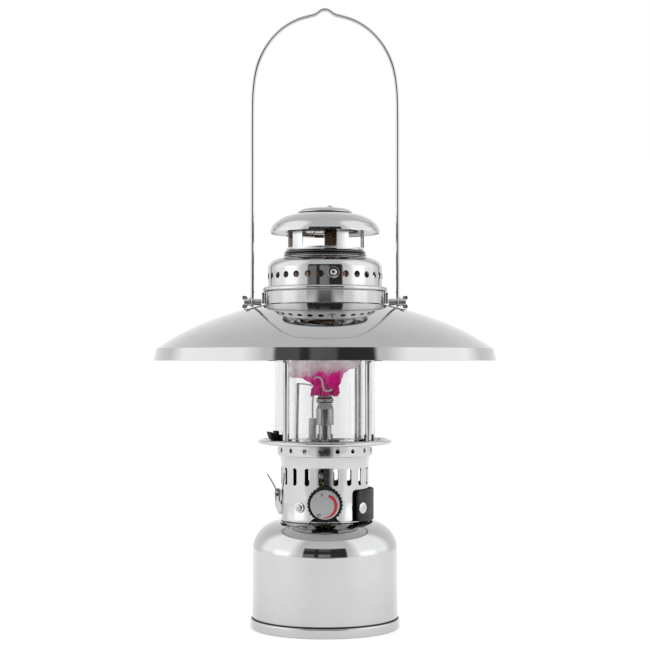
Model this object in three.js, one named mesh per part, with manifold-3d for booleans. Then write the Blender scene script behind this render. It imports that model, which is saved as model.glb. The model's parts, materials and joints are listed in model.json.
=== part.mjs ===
// A mantle lantern in the style of the old pressure lamps, fired by a gas cartridge that stands in its base.
// Millimetres, +Z up. The origin is on the lamp's axis, at the underside of its foot. The valve knob faces -Y.
import * as THREE from 'three';
import { mergeVertices } from 'three/addons/utils/BufferGeometryUtils.js';
import Module from 'manifold-3d';

const wasm = await Module();
wasm.setup();

// ---- Driving dimensions. A height is measured from the surface that the lamp stands on. ----

const SHEET = 1.0; // thickness of the pressed sheet metal
const GAP = 0.3; // clearance between pieces that touch
const ROUND = 28; // sides of a large turned body
const SMALL = 10; // sides of a pin, a post or a screw

const FOOT = { radius: 67, height: 8.7, flangeWidth: 6.5 };
const BASE = { radius: 65.4, shoulderZ: 68, shoulderRadius: 27.4, openingRadius: 36 };
const CARTRIDGE = { radius: 34, wall: 1.6, bottom: 3.4, top: 87 };
const CAGE = { radius: 39.2, bottom: 95.7, flareZ: 145, bandRadius: 42.5, bandZ: 153.5, top: 162.5 };
const CAGE_SLOTS = { count: 19, phase: -5, width: 4.7, height: 15.3, z: 135.6 };
const CAGE_HOLES = { count: 18, phase: -5, radius: 2, z: 158.5 };
const KNOB = { radius: 15.5, faceRadius: 12.8, z: 113.4, back: 43, front: 53.5 };
const GRIP = { inner: 41.2, outer: 43.7, bottom: 96.3, top: 124, halfLength: 32.7, corner: 5 };
const IGNITER = { pivotX: -43.2, pivotZ: 120.5, plungerZ: 111, halfWidth: 5 };
const SPARK_BOX = { x: -26, width: 22.4, depth: 14, z: 125, height: 42 };
const GALLERY = { radius: 60, rollRadius: 2.25, rollZ: 165.5, plateTop: 164.5, seatTop: 165.4 };
const GLASS = { radius: 45, wall: 2.2, bottom: 165.9, top: 283.4 };
const POSTS = { radius: 2.8, circle: 51, turn: 3, top: 283.7 };
const BURNER = { tubeRadius: 5.8, bore: 4.8, sleeveBottom: 181.3, headBottom: 200, headTop: 210.2 };
const ELECTRODE = { x: -11.3, y: 9, insulatorTop: 187, tip: 212 };
const SHADE = { rimRadius: 153.5, rimZ: 238, creaseRadius: 151.2, creaseZ: 248.5, innerRadius: 56, innerZ: 287.8 };
const BAND = { radius: 54.5, bottom: 288.5, flangeRadius: 56.5, top: 303.8 };
const DRUM = { radius: 51.6, bottom: 304.1, shoulderZ: 320, neckZ: 330.2, neckRadius: 35.2, top: 336.6 };
const DRUM_HOLES = { count: 29, phase: -4.3, radius: 2.95, z: 313.5, screwPlaces: [1, 11, 20] };
const VENT = { radius: 35.1, bottom: 337, top: 366, strips: 5, stripWidth: 12, phase: -45 };
const CAP = { radius: 49.7, rimZ: 352.5, crownRadius: 25, crownZ: 370.7 };
const PIVOT = { z: 290.6, sleeveRadius: 3, studRadius: 2, holeRadius: 2.3 };
const BAIL = { legX: 65.4, wireRadius: 1.6, eyeRadius: 4.3, straightTop: 462, peak: 555.2 };
const WING_NUT = { inner: 68.5, hubLength: 4.5, hubRadius: 3.4, span: 5.7, tip: 74.8 };

const FINISHES = {
  chrome: { color: 0xd9dbdd, roughness: 0.08, metalness: 1 },
  steel: { color: 0x9c9ea0, roughness: 0.38, metalness: 1 },
  heatedSteel: { color: 0x6d5b4b, roughness: 0.45, metalness: 1 },
  brass: { color: 0xb99a55, roughness: 0.3, metalness: 1 },
  cartridge: { color: 0x4d5a66, roughness: 0.35, metalness: 0.6 },
  plastic: { color: 0x1b1b1c, roughness: 0.5, metalness: 0 },
  dial: { color: 0xc3c5c7, roughness: 0.4, metalness: 0.8 },
  leather: { color: 0x2a2b30, roughness: 0.75, metalness: 0 },
  ceramic: { color: 0xe9e7e2, roughness: 0.3, metalness: 0 },
  glass: { color: 0xeef4f4, roughness: 0.03, metalness: 0, transparent: true, opacity: 0.3 },
  cloth: { color: 0xe6d7dd, roughness: 0.95, metalness: 0 },
};

// ---- Shared helpers ----

const lantern = new THREE.Group();

// Adds one named piece to the lantern.
function add(name, geometry, finish) {
  const mesh = new THREE.Mesh(geometry, new THREE.MeshStandardMaterial(FINISHES[finish]));
  mesh.name = name;
  lantern.add(mesh);
}

// A point at an angle from the front, turning towards +X, and at a distance from the lamp's axis.
function around(degrees, distance, z = 0) {
  const angle = THREE.MathUtils.degToRad(degrees);
  return new THREE.Vector3(distance * Math.sin(angle), -distance * Math.cos(angle), z);
}

// Points [radius, height] along an arc of an ellipse, by angle from the outward direction.
function arc(centreRadius, centreZ, across, up, from, to, steps) {
  return Array.from({ length: steps + 1 }, (_, i) => {
    const angle = THREE.MathUtils.degToRad(from + ((to - from) * i) / steps);
    return [centreRadius + across * Math.cos(angle), centreZ + up * Math.sin(angle)];
  });
}

// The closed outline of a sheet from its outer line, which runs from the rim up and inwards.
function sheetOutline(outer, thickness = SHEET) {
  const inner = outer.map(([radius, z], i) => {
    const [radiusBefore, zBefore] = outer[Math.max(i - 1, 0)];
    const [radiusAfter, zAfter] = outer[Math.min(i + 1, outer.length - 1)];
    const along = new THREE.Vector2(radiusAfter - radiusBefore, zAfter - zBefore).normalize();
    return [Math.max(radius - along.y * thickness, 0), z + along.x * thickness];
  });
  return [...inner.reverse(), ...outer];
}

// A body turned about Z. Its outline of [radius, height] points starts and ends on the axis, or closes as a ring.
function turned(outline, sides = ROUND) {
  const points = outline.map(([radius, z]) => new THREE.Vector2(radius, z));
  if (THREE.ShapeUtils.area(points) < 0) points.reverse();
  const isRing = points[0].x > 0 || points.at(-1).x > 0;
  if (isRing) points.push(points[0].clone());
  return new THREE.LatheGeometry(points, sides).rotateX(Math.PI / 2);
}

// A turned body whose axis runs from one point towards another; heights in its outline start at the first point.
function turnedAlong(outline, from, towards, sides = SMALL) {
  const direction = towards.clone().sub(from).normalize();
  const turn = new THREE.Quaternion().setFromUnitVectors(new THREE.Vector3(0, 0, 1), direction);
  return turned(outline, sides).applyQuaternion(turn).translate(from.x, from.y, from.z);
}

// A round rod between two points.
function rod(from, to, radius, sides = SMALL) {
  const length = from.distanceTo(to);
  return turnedAlong([[0, 0], [radius, 0], [radius, length], [0, length]], from, to, sides);
}

// A round wire along a curve.
function wire(curve, radius, sides, steps) {
  const section = new THREE.Shape(new THREE.EllipseCurve(0, 0, radius, radius).getPoints(sides).slice(0, sides));
  return new THREE.ExtrudeGeometry(section, { steps, extrudePath: curve, bevelEnabled: false });
}

// A plate of a closed outline in the X-Z plane, with its thickness centred on a Y.
function plateAcrossY(outline, thickness, y = 0) {
  const shape = new THREE.Shape(outline.map(([x, z]) => new THREE.Vector2(x, z)));
  const plate = new THREE.ExtrudeGeometry(shape, { depth: thickness, bevelEnabled: false });
  return plate.rotateX(Math.PI / 2).translate(0, y + thickness / 2, 0);
}

// The boolean library's solid of a closed geometry.
function solid(geometry) {
  const bare = geometry.clone();
  bare.deleteAttribute('normal');
  bare.deleteAttribute('uv');
  const merged = mergeVertices(bare, 1e-4);
  const mesh = new wasm.Mesh({
    numProp: 3,
    vertProperties: merged.attributes.position.array,
    triVerts: new Uint32Array(merged.index.array),
  });
  return new wasm.Manifold(mesh);
}

function geometryOf(made) {
  const mesh = made.getMesh();
  const geometry = new THREE.BufferGeometry();
  geometry.setAttribute('position', new THREE.BufferAttribute(new Float32Array(mesh.vertProperties), 3));
  geometry.setIndex(new THREE.BufferAttribute(new Uint32Array(mesh.triVerts), 1));
  geometry.computeVertexNormals();
  return geometry;
}

function cut(geometry, tools) {
  return geometryOf(tools.reduce((left, tool) => left.subtract(solid(tool)), solid(geometry)));
}

function joined(geometries) {
  return geometryOf(geometries.slice(1).reduce((sum, next) => sum.add(solid(next)), solid(geometries[0])));
}

// A domed screw with its washer, standing out from a wall of the given radius.
function wallScrew(degrees, wallRadius, z, washerRadius) {
  const outline = [[0, 0], [washerRadius, 0], [washerRadius, 0.8], [2.9, 0.9], [2.4, 2], [0, 2.5]];
  const from = around(degrees, wallRadius + GAP, z);
  return turnedAlong(outline, from, around(degrees, wallRadius + 10, z));
}

// ---- Base: the housing of the gas cartridge ----

function makeBase() {
  const { radius, height, flangeWidth } = FOOT;
  const footWall = 2.3;
  const flange = 1.6;
  const footOutline = [
    [radius - flangeWidth, 0],
    [radius - 0.8, 0],
    [radius, 1],
    [radius, height - 1],
    [radius - 0.8, height],
    [radius - footWall, height],
    [radius - footWall, flange],
    [radius - flangeWidth, flange],
  ];
  add('foot_ring', turned(footOutline), 'chrome');

  const plateRadius = radius - footWall - 0.4;
  const plateBottom = flange + GAP;
  const plateTop = plateBottom + 1.2;
  add('base_plate', turned([[0, plateBottom], [plateRadius, plateBottom], [plateRadius, plateTop], [0, plateTop]]), 'steel');

  const shoulderCentre = BASE.radius - BASE.shoulderRadius;
  const shoulder = arc(shoulderCentre, BASE.shoulderZ, BASE.shoulderRadius, BASE.shoulderRadius, 0, 90, 6);
  const shoulderTop = BASE.shoulderZ + BASE.shoulderRadius;
  const coverLine = [[BASE.radius + 0.2, height + GAP], ...shoulder, [BASE.openingRadius, shoulderTop]];
  add('base_cover', turned(sheetOutline(coverLine)), 'chrome');
}

// The cartridge is a hollow shell, open only at the bore of its valve.
function makeCartridge() {
  const { radius, wall, bottom, top } = CARTRIDGE;
  const neck = 13;
  const valve = 5.6;
  const bore = 2;
  const dome = bottom + 4; // the middle of the bottom is pushed up
  const outside = [
    [0, dome],
    [radius - 8, bottom],
    [radius - 1, bottom],
    [radius, bottom + 1.5],
    [radius, top - 21],
    [radius - 3, top - 14],
    [22, top - 7],
    [neck, top - 4],
    [neck, top],
    [valve, top],
    [valve, top + 8],
  ];
  const inside = [
    [bore, top + 8],
    [bore, top - 5],
    [22, top - 8.6],
    [radius - 4.6, top - 15.4],
    [radius - wall, top - 21.5],
    [radius - wall, bottom + wall],
    [radius - 8, bottom + wall],
    [0, dome + wall],
  ];
  add('gas_cartridge', turned([...outside, ...inside], 24), 'cartridge');
}

// ---- Valve: the regulator in the cage, and the knob in front of it ----

function makeValve() {
  const plateBottom = CAGE.bottom + 0.1;
  const plateTop = plateBottom + 1.2;
  const plateRadius = CAGE.radius - SHEET - 0.5;
  const plateOutline = [[10.4, plateBottom], [plateRadius, plateBottom], [plateRadius, plateTop], [10.4, plateTop]];
  add('valve_mount_plate', turned(plateOutline), 'steel');

  const bodyTop = 123;
  const bodyOutline = [
    [0, 95.4],
    [10, 95.4],
    [10, plateTop + GAP],
    [14, plateTop + GAP],
    [14, bodyTop - 3],
    [11, bodyTop],
    [4, bodyTop],
    [4, bodyTop + 6],
    [1.6, bodyTop + 8],
    [0, bodyTop + 8],
  ];
  const boss = rod(new THREE.Vector3(0, -8, KNOB.z), new THREE.Vector3(0, -24, KNOB.z), 6, 16);
  const stemBore = rod(new THREE.Vector3(0, -13.5, KNOB.z), new THREE.Vector3(0, -25, KNOB.z), 2.9);
  const body = joined([turned(bodyOutline, 20), boss]);
  add('valve_body', cut(body, [stemBore]), 'brass');

  const stemFront = new THREE.Vector3(0, -(KNOB.back - GAP), KNOB.z);
  add('valve_stem', rod(new THREE.Vector3(0, -14, KNOB.z), stemFront, 2.5), 'steel');

  makeKnob();
}

// The knob is a toothed disc with a recess in its front that holds the dial.
function makeKnob() {
  const teeth = 30;
  const toothDepth = 0.7;
  const rim = new THREE.Shape();
  for (let i = 0; i < teeth * 2; i++) {
    const angle = (Math.PI * i) / teeth;
    const radius = KNOB.radius - (i % 2) * toothDepth;
    const point = [radius * Math.cos(angle), radius * Math.sin(angle)];
    if (i === 0) rim.moveTo(...point);
    else rim.lineTo(...point);
  }
  const length = KNOB.front - KNOB.back;
  const rimBody = new THREE.ExtrudeGeometry(rim, { depth: length, bevelEnabled: false });
  rimBody.rotateX(Math.PI / 2).translate(0, -KNOB.back, KNOB.z);
  const recessDepth = 1.4;
  const recessBack = new THREE.Vector3(0, -(KNOB.front - recessDepth), KNOB.z);
  const pastFront = new THREE.Vector3(0, -(KNOB.front + 1), KNOB.z);
  const recess = rod(recessBack, pastFront, KNOB.faceRadius + GAP, 24);
  add('valve_knob', cut(rimBody, [recess]), 'plastic');

  const faceBack = new THREE.Vector3(0, -(KNOB.front - recessDepth + GAP), KNOB.z);
  const faceFront = new THREE.Vector3(0, -(KNOB.front - 0.2), KNOB.z);
  add('knob_face', rod(faceBack, faceFront, KNOB.faceRadius, 24), 'dial');
}

// ---- Burner: the gas rises through the mixing tube to the head that carries the mantle ----

function makeBurner() {
  const { tubeRadius, bore, sleeveBottom, headBottom, headTop } = BURNER;
  const tubeTop = sleeveBottom - GAP;
  const tube = [[bore, 131.3], [8.5, 131.3], [8.5, 137], [tubeRadius, 142], [tubeRadius, tubeTop], [bore, tubeTop]];
  add('mixing_tube', turned(tube, 16), 'steel');

  const sleeveTop = headBottom - GAP;
  const sleeve = [[bore, sleeveBottom], [7.9, sleeveBottom], [7.9, 195], [6.3, sleeveTop], [bore, sleeveTop]];
  add('burner_sleeve', turned(sleeve, 16), 'steel');

  const head = [
    [bore, headBottom],
    [7, headBottom],
    [8.1, 202.3],
    [7.7, 204.4],
    [5.9, 205.8],
    [7.2, 207.2],
    [7.2, headTop],
    [bore, headTop],
  ];
  add('burner_head', turned(head, 16), 'steel');
}

// The mantle is a soft bag, flat from front to back. Its mouth is gathered on the burner head, and its left lobe droops.
function makeMantle() {
  const outline = [
    [0, BURNER.headTop + GAP],
    [7.6, BURNER.headTop + GAP],
    [7.6, 207],
    [13, 208.2],
    [14.5, 214],
    [16, 223],
    [24, 229],
    [32, 236],
    [33, 243],
    [28, 248.5],
    [0, 250],
  ];
  const lobeStart = 216;
  const leftDroop = 0.36;
  const rightRise = 0.04;
  const flatness = 0.62;
  const bag = turned(outline, 24);
  const position = bag.attributes.position;
  for (let i = 0; i < position.count; i++) {
    const x = position.getX(i);
    const y = position.getY(i);
    const z = position.getZ(i);
    const lobe = THREE.MathUtils.smoothstep(z, lobeStart, lobeStart + 14) * (x < 0 ? leftDroop : rightRise);
    const flattened = THREE.MathUtils.smoothstep(Math.hypot(x, y), 7.6, 13);
    position.setY(i, y * THREE.MathUtils.lerp(1, flatness, flattened));
    position.setZ(i, z + lobe * x);
  }
  add('mantle', bag, 'cloth');
}

function makeIgnition() {
  const { x, y, insulatorTop, tip } = ELECTRODE;
  const insulatorBottom = 158;
  add('electrode_insulator', rod(new THREE.Vector3(x, y, insulatorBottom), new THREE.Vector3(x, y, insulatorTop), 3.6), 'ceramic');
  const electrodeFoot = new THREE.Vector3(x, y, insulatorTop + GAP);
  add('spark_electrode', rod(electrodeFoot, new THREE.Vector3(x + 0.8, y, tip), 0.8, 8), 'steel');

  const rodFoot = GALLERY.plateTop + GAP;
  const groundRod = rod(new THREE.Vector3(-26, 12, rodFoot), new THREE.Vector3(-25, 12, 218), 1.8);
  const groundWire = rod(new THREE.Vector3(-25, 12, 217.2), new THREE.Vector3(-11.5, 10, 215.8), 0.6, 8);
  add('ground_rod', joined([groundRod, groundWire]), 'chrome');
  add('guard_rod', rod(new THREE.Vector3(29, 24, rodFoot), new THREE.Vector3(29, 24, 258), 1.8), 'chrome');

  const sparkBox = new THREE.BoxGeometry(SPARK_BOX.width, SPARK_BOX.depth, SPARK_BOX.height);
  add('piezo_unit', sparkBox.translate(SPARK_BOX.x, 0, SPARK_BOX.z), 'plastic');
  const wireRoute = new THREE.CatmullRomCurve3([
    new THREE.Vector3(-21, SPARK_BOX.depth / 2 + 1.5, 112),
    new THREE.Vector3(-21, 11, 116),
    new THREE.Vector3(-20, 12, 130),
    new THREE.Vector3(-14, 10.5, 148),
    new THREE.Vector3(x, y, insulatorBottom - GAP),
  ]);
  add('ignition_wire', wire(wireRoute, 1.1, 8, 14), 'plastic');
}

// The igniter lever hangs in a bracket on the left of the cage and pushes the plunger of the spark unit inside.
function makeIgniterLever() {
  const { pivotX, pivotZ, plungerZ, halfWidth } = IGNITER;
  const pinHole = rod(new THREE.Vector3(pivotX, -8, pivotZ), new THREE.Vector3(pivotX, 8, pivotZ), 1.3);
  const cheek = [[-39.6, 122.6], [-43.8, 123.4], [-45, 120], [-44.8, 107.5], [-41.5, 100.6], [-39.6, 100.6]];
  const channel = [[-40.6, 130], [-50, 130], [-50, 95], [-40.6, 95]];
  const plungerHole = rod(new THREE.Vector3(-42, 0, plungerZ), new THREE.Vector3(-36, 0, plungerZ), 1.9);
  const bracket = plateAcrossY(cheek, halfWidth * 2);
  const bracketCuts = [plateAcrossY(channel, (halfWidth - 1) * 2), pinHole, plungerHole];
  add('igniter_bracket', cut(bracket, bracketCuts), 'chrome');

  const leverWidth = 6;
  const arm = [[-42.5, 109], [-43.9, 109], [-44.3, 121], [-52.3, 136.2], [-51.2, 136.9], [-42.5, 121.5]];
  const knuckleFrom = new THREE.Vector3(pivotX, -leverWidth / 2, pivotZ);
  const knuckle = rod(knuckleFrom, new THREE.Vector3(pivotX, leverWidth / 2, pivotZ), 2.1);
  const lever = joined([plateAcrossY(arm, leverWidth), knuckle]);
  add('igniter_lever', cut(lever, [pinHole]), 'chrome');
  add('igniter_pin', rod(new THREE.Vector3(pivotX, -5.8, pivotZ), new THREE.Vector3(pivotX, 5.8, pivotZ), 1), 'steel');

  const plungerFrom = new THREE.Vector3(-42.2, 0, plungerZ);
  const plungerTo = new THREE.Vector3(-39.1, 0, plungerZ);
  add('piezo_plunger', rod(plungerFrom, plungerTo, 1.6), 'plastic');
}

// ---- Cage: the perforated wall round the valve, with the leather grip on its right ----

function makeCage() {
  const { radius, bottom, flareZ, bandRadius, bandZ, top } = CAGE;
  const wallLine = [
    [radius, bottom],
    [radius, flareZ],
    [radius + 1.2, bandZ - 4],
    [bandRadius - 0.8, bandZ],
    [bandRadius, bandZ + 1],
    [bandRadius, top],
  ];
  const cuts = [frontNotch(), rod(new THREE.Vector3(-42, 0, IGNITER.plungerZ), new THREE.Vector3(-36, 0, IGNITER.plungerZ), 1.9)];
  for (let i = 0; i < CAGE_SLOTS.count; i++) {
    cuts.push(cageSlot(CAGE_SLOTS.phase + (360 / CAGE_SLOTS.count) * i));
  }
  for (let i = 0; i < CAGE_HOLES.count; i++) {
    const angle = CAGE_HOLES.phase + (360 / CAGE_HOLES.count) * i;
    const holeFrom = around(angle, radius - 4, CAGE_HOLES.z);
    cuts.push(rod(holeFrom, around(angle, bandRadius + 4, CAGE_HOLES.z), CAGE_HOLES.radius, 6));
  }
  add('burner_cage', cut(turned(sheetOutline(wallLine)), cuts), 'chrome');

  const screwAngles = { cage_screw_front: -34, cage_screw_rear: 152, cage_screw_left: 236 };
  for (const [name, angle] of Object.entries(screwAngles)) {
    add(name, wallScrew(angle, radius, 109, 4.5), 'chrome');
  }
}

// The opening under the knob: a wide mouth with cut corners, and a slot that the valve's stem goes through.
function frontNotch() {
  const { bottom } = CAGE;
  const mouthHalf = 14.5;
  const slotHalf = 4;
  const rise = 4.5;
  const outline = [
    [-mouthHalf - 1, bottom - 1],
    [-mouthHalf + rise, bottom + rise],
    [-slotHalf, bottom + rise],
    [-slotHalf, KNOB.z + 2],
    [-slotHalf / 2, KNOB.z + 4.5],
    [slotHalf / 2, KNOB.z + 4.5],
    [slotHalf, KNOB.z + 2],
    [slotHalf, bottom + rise],
    [mouthHalf - rise, bottom + rise],
    [mouthHalf + 1, bottom - 1],
  ];
  return plateAcrossY(outline, 12, -CAGE.radius);
}

// A slot with round ends through the cage's wall.
function cageSlot(degrees) {
  const { width, height, z } = CAGE_SLOTS;
  const straight = (height - width) / 2;
  const ends = [];
  for (const [centre, from] of [[straight, 0], [-straight, 180]]) {
    ends.push(...arc(0, centre, width / 2, width / 2, from, from + 180, 3));
  }
  const cutter = plateAcrossY(ends, 8, -CAGE.radius);
  return cutter.rotateZ(THREE.MathUtils.degToRad(degrees)).translate(0, 0, z);
}

function makeGrip() {
  const { inner, outer, bottom, top, halfLength, corner } = GRIP;
  const wrap = turned([[inner, bottom], [outer, bottom], [outer, top], [inner, top]], 64);
  const face = new THREE.Shape();
  face.moveTo(-halfLength + corner, bottom - 1);
  face.lineTo(halfLength - corner, bottom - 1);
  face.lineTo(halfLength, bottom + corner);
  face.lineTo(halfLength, top - corner);
  face.absarc(halfLength - corner, top - corner, corner, 0, Math.PI / 2);
  face.lineTo(-halfLength + corner, top);
  face.absarc(-halfLength + corner, top - corner, corner, Math.PI / 2, Math.PI);
  face.lineTo(-halfLength, bottom + corner);
  const blank = new THREE.ExtrudeGeometry(face, { depth: outer, bevelEnabled: false, curveSegments: 5 });
  blank.rotateX(Math.PI / 2).rotateZ(Math.PI / 2).translate(5, 0, 0);
  const strap = geometryOf(solid(wrap).intersect(solid(blank)));
  const rivetZ = 108.5;
  const rivets = { grip_rivet_front: 48.5, grip_rivet_rear: 131.5 };
  const holes = [];
  for (const [name, angle] of Object.entries(rivets)) {
    const wall = around(angle, CAGE.radius + GAP, rivetZ);
    const stand = outer + GAP - (CAGE.radius + GAP);
    const outline = [[0, 0], [2, 0], [2, stand], [5, stand], [5, stand + 0.8], [2.6, stand + 1.1], [0, stand + 1.3]];
    add(name, turnedAlong(outline, wall, around(angle, outer + 5, rivetZ)), 'chrome');
    holes.push(rod(wall, around(angle, outer + 5, rivetZ), 2.4));
  }
  add('leather_grip', cut(strap, holes), 'leather');
}

// ---- Gallery: the dished plate that carries the glass, its clips and the four posts ----

function makeGallery() {
  const { radius, rollRadius, rollZ, plateTop, seatTop } = GALLERY;
  const rollCentre = radius - rollRadius;
  const plateBottom = plateTop - SHEET;
  const centreHole = BURNER.tubeRadius + 0.4;
  const seatEdge = POSTS.circle + POSTS.radius + 0.5;
  const outline = [
    [centreHole, plateBottom],
    [42.6, plateBottom],
    [44.6, seatTop - SHEET],
    [seatEdge, seatTop - SHEET],
    ...arc(rollCentre, rollZ, rollRadius, rollRadius, -135, 135, 5),
    [seatEdge, seatTop],
    [44.2, seatTop],
    [42, plateTop],
    [centreHole, plateTop],
  ];
  const insulatorHole = rod(
    new THREE.Vector3(ELECTRODE.x, ELECTRODE.y, plateBottom - 2),
    new THREE.Vector3(ELECTRODE.x, ELECTRODE.y, seatTop + 2),
    3.9,
  );
  add('gallery_plate', cut(turned(outline), [insulatorHole]), 'chrome');

  const seatBottom = plateTop + GAP;
  add('glass_seat_ring', turned([[40.2, seatBottom], [41.4, seatBottom], [41.4, 169], [40.2, 169]]), 'chrome');
}

function makeGlass() {
  const { radius, wall, bottom, top } = GLASS;
  const inner = radius - wall;
  add('glass_globe', turned([[inner, bottom], [radius, bottom], [radius, top], [inner, top]]), 'glass');

  const clipNames = { globe_clip_left: -58, globe_clip_right: 58, globe_clip_rear: 180 };
  for (const [name, angle] of Object.entries(clipNames)) {
    const clip = new THREE.BoxGeometry(15, 1.9, 6.8).translate(0, -(radius + 1.25), bottom + 3.4);
    add(name, clip.rotateZ(THREE.MathUtils.degToRad(angle)), 'plastic');
  }
}

// A small lever beside the left clip: swung outwards, it frees the foot of the glass.
function makeGlobeLatch() {
  const leverOutline = [
    [47.9, 166.2],
    [50.3, 166.2],
    [53.8, 169],
    [55.6, 172],
    [56.4, 175.3],
    [53.6, 174.3],
    [50.4, 173.8],
    [50.1, 176],
    [47.9, 176],
  ];
  const outline = leverOutline.map(([radius, z]) => [-radius, z]);
  const lever = plateAcrossY(outline, 8).rotateZ(THREE.MathUtils.degToRad(28));
  add('globe_latch_lever', lever, 'plastic');
}

function makePosts() {
  const postAngles = { front_left: -45, front_right: 45, rear_right: 135, rear_left: 225 };
  for (const [place, angle] of Object.entries(postAngles)) {
    const foot = around(angle + POSTS.turn, POSTS.circle, GALLERY.seatTop + GAP);
    const head = around(angle + POSTS.turn, POSTS.circle, POSTS.top);
    add(`frame_post_${place}`, rod(foot, head, POSTS.radius), 'chrome');
  }
  const ringBottom = POSTS.top + GAP;
  const ringTop = ringBottom + 2.3;
  add('frame_top_ring', turned([[42, ringBottom], [54.5, ringBottom], [54.5, ringTop], [42, ringTop]]), 'steel');
}

// ---- Shade and hood ----

function makeShade() {
  const { rimRadius, rimZ, creaseRadius, creaseZ, innerRadius, innerZ } = SHADE;
  const dome = new THREE.SplineCurve([
    new THREE.Vector2(creaseRadius, creaseZ),
    new THREE.Vector2(130.5, 261.5),
    new THREE.Vector2(108, 272),
    new THREE.Vector2(81, 281.5),
    new THREE.Vector2(innerRadius, innerZ),
  ]);
  const domeLine = dome.getPoints(7).map(({ x, y }) => [x, y]);
  const line = [[rimRadius, rimZ], ...domeLine, [50.5, innerZ + 0.1]];
  add('shade', turned(sheetOutline(line, 1.1), 40), 'chrome');
}

function makeHood() {
  const { radius, bottom, flangeRadius, top } = BAND;
  const band = [
    [radius - SHEET, bottom],
    [radius, bottom],
    [radius, top - 4.4],
    [flangeRadius, top - 3.4],
    [flangeRadius, top - 1.2],
    [flangeRadius - 1.2, top],
    [radius - 4, top],
    [radius - 4, top - SHEET],
    [radius - SHEET, top - 1.8],
  ];
  add('hood_band', turned(band), 'chrome');

  const shoulderInner = 38;
  const shoulderRise = DRUM.neckZ - DRUM.shoulderZ;
  const shoulder = arc(shoulderInner, DRUM.shoulderZ, DRUM.radius - shoulderInner, shoulderRise, 0, 90, 4);
  const drumLine = [[DRUM.radius, DRUM.bottom], ...shoulder, [36.4, DRUM.neckZ + 0.6], [DRUM.neckRadius, DRUM.top]];
  const holes = [];
  for (let i = 0; i < DRUM_HOLES.count; i++) {
    const angle = DRUM_HOLES.phase + (360 / DRUM_HOLES.count) * i;
    const place = DRUM_HOLES.screwPlaces.indexOf(i);
    if (place < 0) {
      const from = around(angle, DRUM.radius - 4, DRUM_HOLES.z);
      holes.push(rod(from, around(angle, DRUM.radius + 4, DRUM_HOLES.z), DRUM_HOLES.radius, 6));
    } else {
      const name = ['hood_screw_front', 'hood_screw_rear_right', 'hood_screw_rear_left'][place];
      add(name, wallScrew(angle, DRUM.radius, DRUM_HOLES.z + 1, 5), 'chrome');
    }
  }
  add('hood_drum', cut(turned(sheetOutline(drumLine)), holes), 'chrome');
  add('inner_chimney', turned(sheetOutline([[32, 296], [32, 330], [33.4, 336.4]]), 24), 'heatedSteel');
}

// The vent is a short tube whose wall is cut away to five strips that carry the cap.
function makeVent() {
  const { radius, bottom, top, strips, stripWidth, phase } = VENT;
  const tube = turned([[radius - SHEET, bottom], [radius, bottom], [radius, top], [radius - SHEET, top]]);
  const pitch = 360 / strips;
  const stripAngle = THREE.MathUtils.radToDeg(stripWidth / radius);
  const windowHalf = (pitch - stripAngle) / 2;
  const windows = [];
  for (let i = 0; i < strips; i++) {
    const middle = phase + pitch * (i + 0.5);
    const corners = [new THREE.Vector3(), around(middle - windowHalf, radius * 1.5), around(middle + windowHalf, radius * 1.5)];
    const wedge = new THREE.Shape(corners.map(({ x, y }) => new THREE.Vector2(x, y)));
    const depth = top - bottom - 5;
    windows.push(new THREE.ExtrudeGeometry(wedge, { depth, bevelEnabled: false }).translate(0, 0, bottom + 2));
  }
  add('vent_collar', cut(tube, windows), 'heatedSteel');
}

function makeCap() {
  const { radius, rimZ, crownRadius, crownZ } = CAP;
  const capLine = [[radius, rimZ], [radius - 0.7, 356.2], [46, 361], [40, 365.5], [34, 368], [25, 370], [0, 370.3]];
  add('hood_cap', turned(sheetOutline(capLine)), 'chrome');
  const crown = [[0, crownZ], [crownRadius, crownZ], [crownRadius, crownZ + 0.9], [22, 374.2], [12, 375], [0, 375.2]];
  add('cap_crown', turned(crown, 24), 'chrome');
  const screw = [[0, 0], [4.5, 0], [4.5, 0.7], [2.8, 1.1], [2.2, 2], [0, 2.2]];
  add('cap_screw', turned(screw, SMALL).translate(4.5, 0, 375.5), 'chrome');
}

// ---- Bail: the carrying handle, its ears on the hood band, and the wing nuts that clamp it ----

function makeBailSide(side, name) {
  const alongX = (x) => new THREE.Vector3(side * x, 0, PIVOT.z);
  const ring = turned([[54.9, 288.9], [57, 288.9], [57, 299.1], [54.9, 299.1]], 64);
  const earHalf = 8.5;
  const earBlank = new THREE.BoxGeometry(20, earHalf * 2, 30).translate(side * 52, 0, 294);
  add(`bail_ear_${name}`, geometryOf(solid(ring).intersect(solid(earBlank))), 'chrome');

  const { sleeveRadius, studRadius, holeRadius } = PIVOT;
  const sleeveStart = 57.4;
  const sleeveLength = 6;
  const studLength = 15.2;
  const stud = [
    [0, 0],
    [sleeveRadius, 0],
    [sleeveRadius, sleeveLength],
    [studRadius, sleeveLength],
    [studRadius, studLength],
    [0, studLength],
  ];
  add(`pivot_stud_${name}`, turnedAlong(stud, alongX(sleeveStart), alongX(100)), 'steel');

  const { inner, hubLength, hubRadius, span, tip } = WING_NUT;
  const half = [[inner + 0.2, 0], [inner + 0.7, 3], [inner + 1.9, span], [tip, span], [tip - 1.2, 2.6], [tip - 1.9, 0]];
  const lowerHalf = half.slice(1, -1).reverse().map(([x, z]) => [x, -z]);
  const wings = [...half, ...lowerHalf].map(([x, z]) => [side * x, PIVOT.z + z]);
  const hub = rod(alongX(inner), alongX(inner + hubLength), hubRadius);
  const threadHole = rod(alongX(inner - 1), alongX(tip + 1), holeRadius);
  const nut = joined([plateAcrossY(wings, 1.6), hub]);
  add(`wing_nut_${name}`, cut(nut, [threadHole]), 'chrome');
}

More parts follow.
